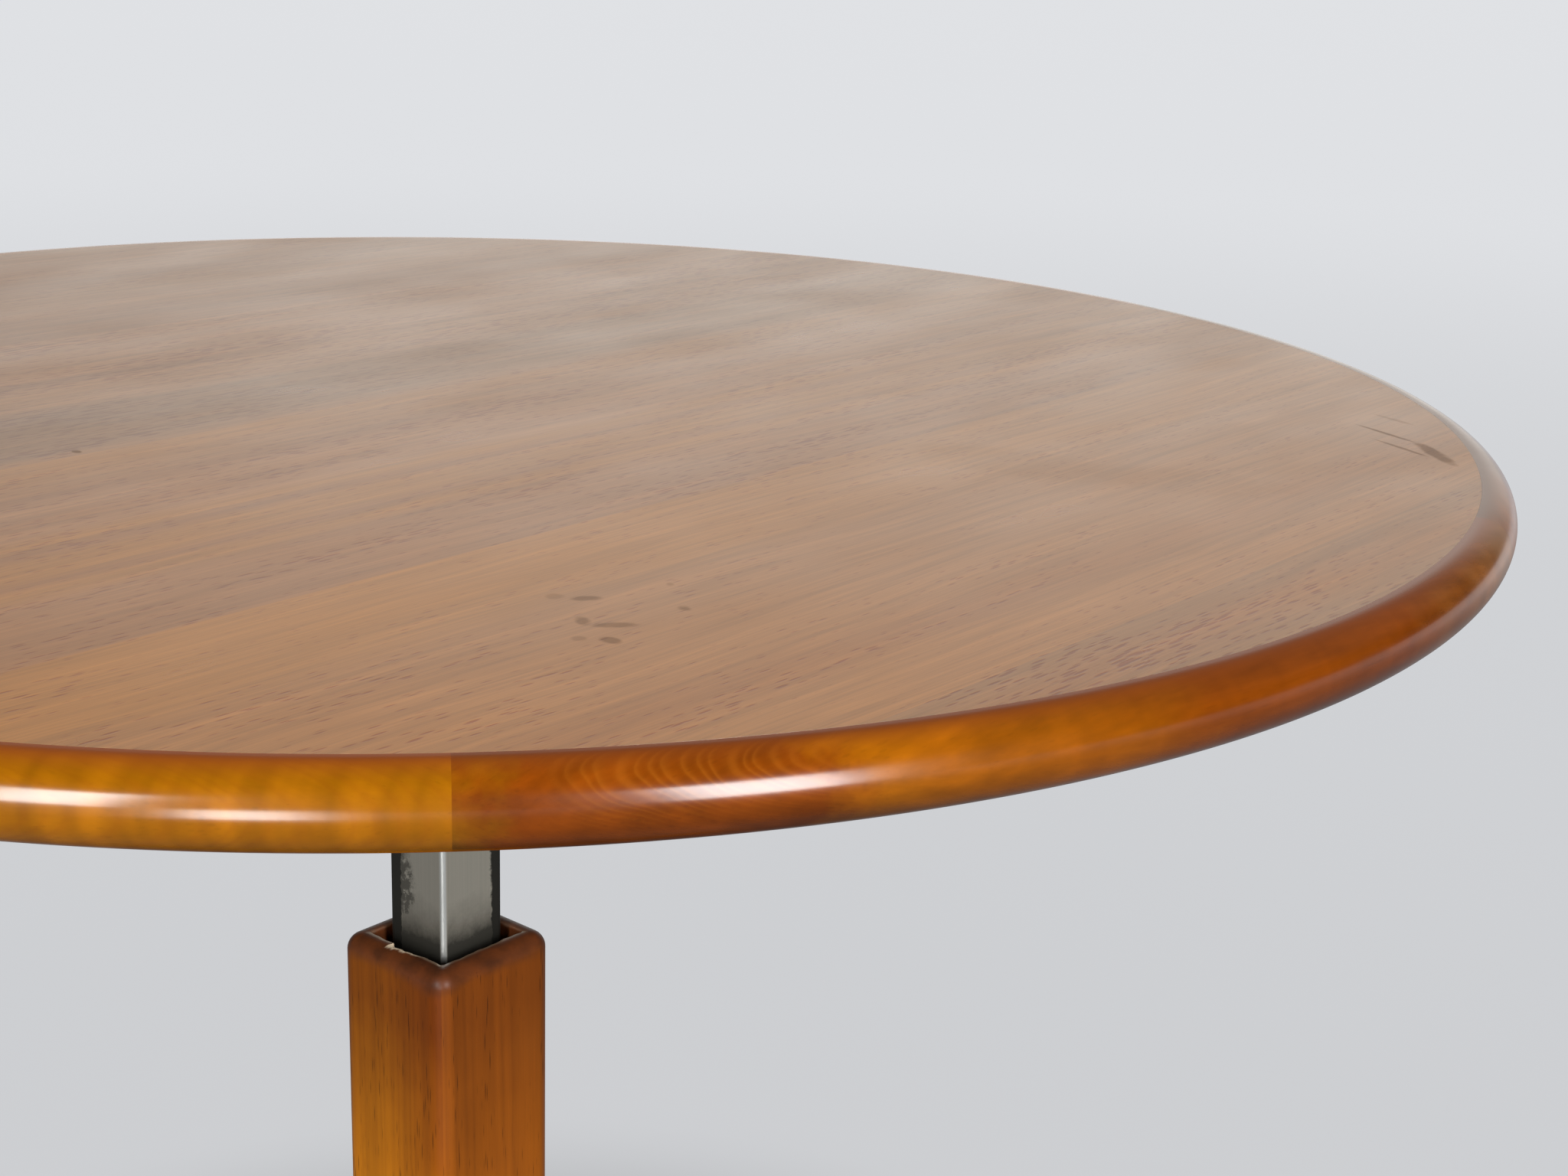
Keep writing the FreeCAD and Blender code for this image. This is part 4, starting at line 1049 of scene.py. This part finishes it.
@dataclass
class Face:
    """Leaves of teak veneer side by side on the core, inside the lipping."""

    radius: float
    back: float
    face: float
    arris: float = 0.03 * MM
    rows: int = 40
    columns: int = 60

    # Where across the grain, in millimetres, a leaf has which tone.
    BANDS = {
        1: ((-474, Tone.SLATE), (-450, Tone.UMBER), (-425, Tone.SLATE)),
        2: (
            (-425, Tone.ROSE), (-395, Tone.ROSE), (-375, Tone.UMBER), (-350, Tone.ROSE), (-285, Tone.ROSE),
            (-262, Tone.HONEY), (-210, Tone.HONEY),
        ),
        3: (
            (-210, Tone.PLUM), (-160, Tone.PLUM), (-146, Tone.HONEY), (-138, Tone.UMBER), (-130, Tone.HONEY),
            (-118, Tone.HONEY), (-108, Tone.UMBER), (-98, Tone.HONEY), (-88, Tone.PALE), (-76, Tone.UMBER),
            (-60, Tone.PALE), (-44, Tone.UMBER), (-30, Tone.ROSE), (5, Tone.HONEY),
        ),
        4: (
            (5, Tone.ROSE), (22, Tone.SLATE), (76, Tone.SLATE), (92, Tone.ROSE), (125, Tone.ROSE),
            (135, Tone.UMBER), (148, Tone.PALE), (220, Tone.PALE),
        ),
        5: (
            (220, Tone.UMBER), (262, Tone.UMBER), (290, Tone.PALE), (315, Tone.ROSE), (362, Tone.UMBER),
            (380, Tone.PALE), (435, Tone.PALE),
        ),
        6: ((435, Tone.ROSE), (474, Tone.PALE)),
    }
    # How much of its cell a pore fills on each leaf.
    PORES = {1: 0.36, 2: 0.25, 3: 0.33, 4: 0.40, 5: 0.30, 6: 0.28}

    def leaf(self, start: float, end: float) -> Shape:
        """One leaf: chords of the disc, drawn between two turns of its radius.

        Args:
            start: where the leaf begins across the grain.
            end: where it ends.

        Returns:
            Its points and faces.
        """
        ends = np.clip(np.array([start, end]) / self.radius, -1, 1)
        turn = np.linspace(*np.arccos(-ends), self.rows)[:, None]
        half = self.radius * np.sin(turn)
        arris = np.minimum(self.arris, half / 2)
        top = np.linspace(-1, 1, self.columns)[None, :]
        level = np.ones_like(half)
        x = np.concatenate([-half, (half - arris) * top, half, half, -half], 1)
        low, eased, high = self.back * level, self.face - arris, self.face * level
        z = np.concatenate([eased, np.repeat(high, self.columns, 1), eased, low, low], 1)
        y = np.broadcast_to(-self.radius * np.cos(turn), x.shape)
        return swept(np.stack([x, y, z], -1))

    def build(self) -> None:
        """Make and dress all leaves."""
        for index, bands in self.BANDS.items():
            low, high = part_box(f"face_leaf_{index}")
            marks = tuple(mark for mark in SMEARS if low.y < mark.y * MM < high.y)
            veneer = TeakVeneer(f"satin_teak_veneer_{index}", bands, self.PORES[index], marks=marks)
            name, leaf = f"veneer_leaf_{index}", self.leaf(low.y, high.y)
            piece(name, leaf, veneer.material(), "top", (f"face_leaf_{index}",))


@dataclass(frozen=True)
class Stave:
    """One side of the column: the way it faces, its timber, the tint of painted shade on its upper part, and
    how bare and where chipped its edge is.
    """

    angle: float
    light: str
    dark: str
    pith_mm: Pair
    top_shade_tint: str
    bared: float
    corner_tint: str = "#ffffff"
    chipped: Pair = (0.0, 0.0)


@dataclass
class Column:
    """Four mitred teak staves round the sleeve, rounded at the corners and over the lip."""

    half: float
    hole: float
    bottom: float
    top: float
    lip: float = 8.5 * MM
    corner_ease: float = 1 * MM
    worn: float = 0.9 * MM
    chip_depth: float = 4.6 * MM
    mitre_slope: float = 20.0
    bare_depth: float = 1.5 * MM
    bare_least: float = 0.4
    bare_fade: float = 0.8 * MM
    bare_fade_share: float = 0.3
    contour_gap: float = 0.02 * MM
    lip_steps: int = 22
    corner_steps: int = 10
    wall_steps: int = 80

    # The fifth value of each stave tints its upper part with painted shade from the table top.
    STAVES = {
        "right": Stave(0.0, "#6b3708", "#482105", (40, -90), "#d0c6bc", 0.15),
        "back": Stave(90.0, "#6e3a08", "#482105", (90, 60), "#d0c6bc", 0.15),
        "left": Stave(180.0, "#7f4b07", "#603305", (-70, 80), "#aa9890", 1.0, "#e4cedc", (-0.0085, 0.0200)),
        "front": Stave(270.0, "#6a3707", "#472204", (-120, -40), "#cac1ba", 0.6),
    }
    # Contours down the broken edge: share of its reach, share of its depth, and how far below that.
    EDGE = ((1.0, 0.0, 0.0), (0.45, 0.35, 0.0), (0.0, 1.0, 0.0), (0.0, 1.0, 1.2 * MM))

    def outline(self, inset: np.ndarray) -> np.ndarray:
        """Outside of a stave in plan, from mitre to mitre: a flat with an eighth of a turn at each end.

        Args:
            inset: how far inside the full outline each contour lies.

        Returns:
            Contours by points by X and Y, for the stave that faces +X.
        """
        reach = (self.half - inset)[:, None]
        radius = (self.lip + self.corner_ease - inset)[:, None]
        turn = np.linspace(0, math.pi / 4, self.corner_steps)[None, :]
        corner_x = reach - radius + radius * np.cos(turn)
        corner_y = reach - radius + radius * np.sin(turn)
        flat = np.linspace(-1, 1, self.wall_steps)[None, 1:-1]
        x = np.concatenate([corner_x[:, ::-1], reach + 0 * flat, corner_x], 1)
        y = np.concatenate([-corner_y[:, ::-1], (reach - radius) * flat, corner_y], 1)
        return np.stack([x, y], -1)

    def chip(self, along: np.ndarray, start: float, end: float) -> np.ndarray:
        """Wear of the inner edge: easing by two sines, and a chip, jagged by two more, that tapers.

        Args:
            along: places along the edge.
            start: where the chip begins.
            end: where it ends.

        Returns:
            How far the edge is broken back at each place.
        """
        span = (along - start) / max(end - start, 1e-6)
        bite = np.where((span >= 0) & (span <= 1), (1 - np.clip(span, 0, 1)) ** 1.5, 0)
        jag = 0.85 + 0.1 * np.sin(along / (0.9 * MM)) + 0.08 * np.sin(along / (0.37 * MM) + 1.3)
        uneven = 0.5 + 0.3 * np.sin(along / (3.1 * MM)) + 0.2 * np.sin(along / (1.3 * MM) + 0.7)
        return self.worn * uneven + self.chip_depth * bite * jag

    def stave(self, angle: float, chipped: Pair) -> tuple[Shape, np.ndarray]:
        """One stave: contours stacked up the outside, over the lip and down the inside.

        Args:
            angle: which way the stave faces, in degrees.
            chipped: where along its inner edge it is chipped.

        Returns:
            Its points and faces, and how bare each point is worn.
        """
        over = np.linspace(0, math.pi / 2, self.lip_steps)
        spring = self.top - self.lip
        inset = np.concatenate([[0.0, 0.0], self.lip * (1 - np.cos(over))])
        height = np.concatenate([[self.bottom, spring - 1 * MM], spring + self.lip * np.sin(over)])
        outside = self.outline(inset)
        columns = outside.shape[1]
        share = outside[-1, :, 1] / outside[-1, -1, 1]
        mitre_fade = np.clip((1 - np.abs(share)) * self.mitre_slope, 0, 1)
        broken = self.chip(self.hole * share, *chipped) * mitre_fade
        edge = self.hole + broken
        apart = self.contour_gap * np.arange(len(height), 0, -1)[:, None]
        held = np.maximum(outside[..., 0], edge + apart)
        moved = held > outside[..., 0]
        outside[..., 0] = held
        fallen = self.lip - np.clip(self.half - held, 0, self.lip)
        lowered = spring + np.sqrt(self.lip**2 - fallen**2)
        levels = list(np.where(moved, lowered, height[:, None]))
        rows = list(outside)
        crest = np.minimum(self.top, levels[-1])
        for back, drop, below in self.EDGE:
            reach = self.hole + broken * back
            rows.append(np.stack([reach, reach * share], -1))
            levels.append(crest - broken * drop - below)
        rows.append(np.stack([np.full(columns, self.hole), self.hole * share], -1))
        levels.append(np.full(columns, self.bottom))
        rings = np.concatenate([np.array(rows), np.array(levels)[..., None]], -1)
        wear = np.zeros(rings.shape[:2])
        torn = np.clip(broken / self.bare_depth, self.bare_least, 1)
        fade = self.bare_fade + self.bare_fade_share * broken
        wear[: len(height)] = torn * np.clip(1 - (held - edge) / fade, 0, 1)
        wear[len(height) : len(height) + 3] = torn
        turn = np.array(Matrix.Rotation(math.radians(angle), 3, "Z"))
        return swept(rings.transpose(1, 0, 2) @ turn.T), wear.T.reshape(-1)

    def build(self) -> None:
        """Make and dress the staves."""
        for side, stave in self.STAVES.items():
            teak = StaveTeak(
                name=f"satin_teak_stave_{side}", light=stave.light, dark=stave.dark, pith_mm=stave.pith_mm,
                top=self.top, top_shade_tint=stave.top_shade_tint, corner_tint=stave.corner_tint,
            ).material()
            shape, wear = self.stave(stave.angle, stave.chipped)
            name, bare = f"column_board_{side}", wear * stave.bared
            piece(name, shape, teak, "base", (f"column_stave_{side}",), bare)


@dataclass
class Feet:
    """Four tapering feet under the column."""

    TIMBER = {
        "right": (Grain.ALONG_X, (60, 10)),
        "left": (Grain.ALONG_X, (-50, 130)),
        "back": (Grain.ALONG_Y, (-80, 60)),
        "front": (Grain.ALONG_Y, (45, 120)),
    }

    def build(self) -> None:
        """Dress the feet, each with its grain along it."""
        for side, (grain, pith) in self.TIMBER.items():
            teak = SolidWood(name=f"satin_teak_foot_{side}", turn=grain.value, pith_mm=pith)
            dress((f"foot_{side}",), teak.material())


@dataclass
class Hardware:
    """Metal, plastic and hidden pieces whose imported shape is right, each in its own finish."""

    post_mouth: float

    BACKING = ((-474, Tone.UMBER), (-200, Tone.ROSE), (60, Tone.UMBER), (300, Tone.SLATE), (474, Tone.UMBER))

    def build(self) -> None:
        """Dress the pieces."""
        finishes = {
            DrawnSteel("bright_drawn_steel", self.post_mouth): ("inner_post",),
            # Satin black with a faint orange-peel skin.
            Mottled("black_stoved_enamel", ("#131314", "#1e1d1c"), 18, 1.2, (0.32, 0.45), 0.12): (
                "mounting_plate", "outer_sleeve", "base_plate", "lever_bracket", "release_lever",
                "gas_spring_cylinder",
            ),
            # Soft grey metal with a yellowish cast in patches.
            Mottled("bright_zinc_plate", ("#a8a8a4", "#b9b3a0"), 6, 0.7, (0.26, 0.40), 0.1, 1.0): (
                "base_plate_screws", "glide_nails", "gas_spring_piston", "rod_washer", "rod_nuts",
                "mounting_plate_screws", "shoe_pins", "collar_screws", "lever_pin", "lever_pin_clip",
            ),
            # Near mirror, almost without skin.
            Mottled("hard_chrome", ("#c6c8ca", "#bcbec1"), 30, 2.0, (0.05, 0.10), 0.02, 1.0): (
                "release_pin", "gas_spring_rod",
            ),
            # Milky white, half matt.
            Mottled("moulded_nylon", ("#dbd7ca", "#cfc9b6"), 14, 1.0, (0.38, 0.5), 0.06): (
                "post_shoe", "upper_guide_bush", "cylinder_collar", "gas_spring_seal", "foot_glides",
            ),
            # Dull black with a leathery skin.
            Mottled("moulded_black_plastic", ("#101011", "#181818"), 10, 0.9, (0.42, 0.6), 0.3): (
                "lever_grip",
            ),
            PressedChips("raw_particle_board", ("#a98a5e", "#c0a274", "#94744a"), 3.0): ("top_core",),
            PressedChips("pressed_fibre", ("#33261a", "#3d2d20", "#2a1f16"), 1.2): ("packing_strips",),
            # Pale and dry, with small flecks.
            SolidWood(
                name="raw_beech", light="#c8a172", dark="#b48b5c", pith_mm=(20, 40), ring_mm=2.5,
                roughness=0.6, specular=0.3, pore_share=0.2, pore_depth=0.25,
            ): ("foot_dowels",),
            # Teak without gloss, as it is left where nobody looks.
            TeakVeneer("matt_backing_veneer", self.BACKING, 0.32, 0.55): ("backing_veneer",),
        }
        for finish, names in finishes.items():
            dress(names, finish.material())


# Studio


@dataclass
class Softbox:
    """Soft panel light that faces the table, given by where it stands as seen from there."""

    name: str
    compass: float
    elevation: float
    distance: float
    width: float
    height: float
    radiance: float

    def build(self, target: Vector, floor: bpy.types.Object) -> None:
        """Hang the panel so that it faces a point.

        Args:
            target: the point.
            floor: the floor, which the panel leaves evenly lit.
        """
        turn, rise = math.radians(self.compass), math.radians(self.elevation)
        way = Vector((math.cos(turn) * math.cos(rise), math.sin(turn) * math.cos(rise), math.sin(rise)))
        lamp = bpy.data.lights.new(self.name, "AREA")
        lamp.shape = "RECTANGLE"
        lamp.size, lamp.size_y = self.width, self.height
        lamp.energy = self.radiance * math.pi * self.width * self.height
        hung = bpy.data.objects.new(self.name, lamp)
        hung.location = target + way * self.distance
        hung.rotation_mode = "QUATERNION"
        hung.rotation_quaternion = (-way).to_track_quat("-Z", "Y")
        hung.visible_camera = False
        bpy.context.scene.collection.objects.link(hung)
        spared = bpy.data.collections.new(f"{self.name}_leaves_dark")
        spared.objects.link(floor)
        spared.collection_objects[0].light_linking.link_state = "EXCLUDE"
        hung.light_linking.receiver_collection = spared


@dataclass
class Studio:
    """Pale floor, soft light and the camera."""

    camera_place: Triple = (-0.7274, -0.8161, 0.9687)
    heading: float = 50.4
    pitch: float = 17.0
    roll: float = 1.89
    focal_pixels: float = 3054.0
    frame_pixels: float = 2048.0
    sensor: float = 36.0
    paper: str = "#f4f6fa"
    paper_tones: tuple[str, str] = ("#7e8082", "#848688")
    paper_patch_mm: float = 2500.0
    floor_half: float = 60.0
    # Painted light: the floor's emission by distance from the middle, lowest in a painted shadow under the
    # table.
    floor_glow: tuple[Pair, ...] = ((0.2, 0.12), (0.62, 0.64), (2.0, 0.66), (7.0, 0.77))
    floor_bounce: Pair = (0.40, 1.2)
    bounce_reach: Pair = (2.2, 5.0)
    backdrop_heading: float = 52.5
    backdrop_edge: Pair = (0.755, 0.985)
    backdrop_light: float = 1.6
    backdrop_tone: str = "#fffbf4"
    room_light: float = 0.03
    ceiling_light: float = 0.2
    ceiling_edge: Pair = (-0.4, 0.5)
    ceiling_rise: Pair = (0.16, 0.46)
    seen_light: float = 0.77
    aim_radius: float = 0.49
    aim_compass: float = 228.0
    aim_height: float = 0.716
    softboxes: list[Softbox] = field(
        default_factory=lambda: [
            Softbox("left_softbox", 191, 16, 2.4, 0.5, 1.2, 53),
            Softbox("low_softbox", 210, -12, 2.4, 0.4, 1.3, 48),
            Softbox("key_softbox", 258.6, 13, 2.4, 0.64, 1.3, 55),
        ]
    )

    def camera(self) -> None:
        """Camera that looks along a heading from +Y, tilted down and rolled."""
        turn, tilt, roll = (math.radians(angle) for angle in (self.heading, self.pitch, self.roll))
        forward = Vector((math.sin(turn) * math.cos(tilt), math.cos(turn) * math.cos(tilt), -math.sin(tilt)))
        level = Vector((math.cos(turn), -math.sin(turn), 0))
        above = level.cross(forward)
        right = math.cos(roll) * level + math.sin(roll) * above
        up = -math.sin(roll) * level + math.cos(roll) * above
        lens = bpy.data.cameras.new("camera")
        lens.sensor_fit = "HORIZONTAL"
        lens.sensor_width = self.sensor
        lens.lens = self.sensor * self.focal_pixels / self.frame_pixels
        made = bpy.data.objects.new("camera", lens)
        facing = Matrix((right, up, -forward)).transposed().to_4x4()
        made.matrix_world = Matrix.Translation(self.camera_place) @ facing
        bpy.context.scene.collection.objects.link(made)
        bpy.context.scene.camera = made

    def paper_floor(self) -> bpy.types.Material:
        """Matt paper with painted light: an emission that rises further out, as a lit studio sweep looks.

        Returns:
            The material, whose emission is lowest under the table, a painted shadow.
        """
        made, tree, place = begin("matt_paper_floor", Roughness=0.9, Specular_IOR_Level=0.1)
        shader = tree.nodes["Principled BSDF"]
        shader.inputs["Emission Color"].default_value = linear(self.paper)
        cloud = add(tree, "TexNoise", {"Vector": place, "Scale": per(self.paper_patch_mm), "Detail": 2.0})
        tones = {0: cloud, 6: linear(self.paper_tones[0]), 7: linear(self.paper_tones[1])}
        tree.links.new(add(tree, "Mix", tones, 2, **TINT), shader.inputs["Base Color"])
        # Painted light in the emission, lowest in a painted shadow under the table.
        away = add(tree, "VectorMath", (place,), "Value", operation="LENGTH")
        stops = [(radius, (level, level, level, 1)) for radius, level in self.floor_glow]
        glow = graded(tree, away, stops, "EASE")
        bounced = add(tree, "MapRange", (away, *self.bounce_reach, *self.floor_bounce))
        share = add(tree, "Mix", {0: add(tree, "LightPath", out="Is Camera Ray"), 2: bounced, 3: 1.0})
        lit = add(tree, "Math", (glow, share), operation="MULTIPLY")
        tree.links.new(lit, shader.inputs["Emission Strength"])
        return made

    def floor(self) -> bpy.types.Object:
        """Wide pale floor, one square face.

        Returns:
            The floor.
        """
        corners = self.floor_half * np.array([(-1, -1, 0), (1, -1, 0), (1, 1, 0), (-1, 1, 0)])
        mesh = bpy.data.meshes.new("studio_floor")
        mesh.from_pydata(corners.tolist(), [], [[0, 1, 2, 3]])
        mesh.materials.append(self.paper_floor())
        made = bpy.data.objects.new("studio_floor", mesh)
        bpy.context.scene.collection.objects.link(made)
        return made

    def room(self) -> None:
        """Surrounding light: a bright backdrop low on one side, a dim ceiling over it and a dark room behind.

        What the camera itself sees past the floor's edge is plain and pale.
        """
        world = bpy.data.worlds.new("studio")
        bpy.context.scene.world = world
        world.use_nodes = True
        tree = world.node_tree
        turn = math.radians(self.backdrop_heading)
        way = add(tree, "TexCoord", out="Generated")
        side = (math.sin(turn), math.cos(turn), 0)
        facing = add(tree, "VectorMath", (way, side), "Value", operation="DOT_PRODUCT")
        pools = ((self.backdrop_edge, self.backdrop_light), (self.ceiling_edge, self.ceiling_light))
        backdrop, ceiling = (
            add(tree, "MapRange", (facing, *edge, self.room_light, light), **SMOOTH) for edge, light in pools
        )
        rise = add(tree, "SeparateXYZ", (way,), "Z")
        upper = add(tree, "MapRange", (rise, *self.ceiling_rise), **SMOOTH)
        cast = add(tree, "Mix", {0: upper, 2: backdrop, 3: ceiling})
        seen = add(tree, "LightPath", out="Is Camera Ray")
        strength = add(tree, "Mix", {0: seen, 2: cast, 3: self.seen_light})
        tones = {0: seen, 6: linear(self.backdrop_tone), 7: linear(self.paper)}
        background = tree.nodes["Background"].inputs
        tree.links.new(strength, background["Strength"])
        tree.links.new(add(tree, "Mix", tones, 2, **TINT), background["Color"])

    def build(self) -> None:
        """Set up the whole studio."""
        self.camera()
        floor = self.floor()
        self.room()
        turn = math.radians(self.aim_compass)
        rim = Vector((self.aim_radius * math.cos(turn), self.aim_radius * math.sin(turn), self.aim_height))
        for softbox in self.softboxes:
            softbox.build(rim, floor)
        bpy.context.scene.view_settings.view_transform = "Standard"


def main() -> None:
    """Build the table's looks in order."""
    logging.basicConfig(level=logging.INFO, format="%(message)s")
    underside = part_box("lipping_1")[0].z
    face = CAD_BOX[1].z
    radius = CAD_BOX[1].x
    lipping = Lipping(radius, underside, face)
    lipping.build()
    Face(radius - lipping.width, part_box("face_leaf_3")[0].z, face).build()
    low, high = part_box("column_stave_left")
    Column(-low.x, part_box("packing_strips")[1].x, low.z, high.z).build()
    Feet().build()
    Hardware(high.z).build()
    Studio().build()


if __name__ == "__main__":
    main()
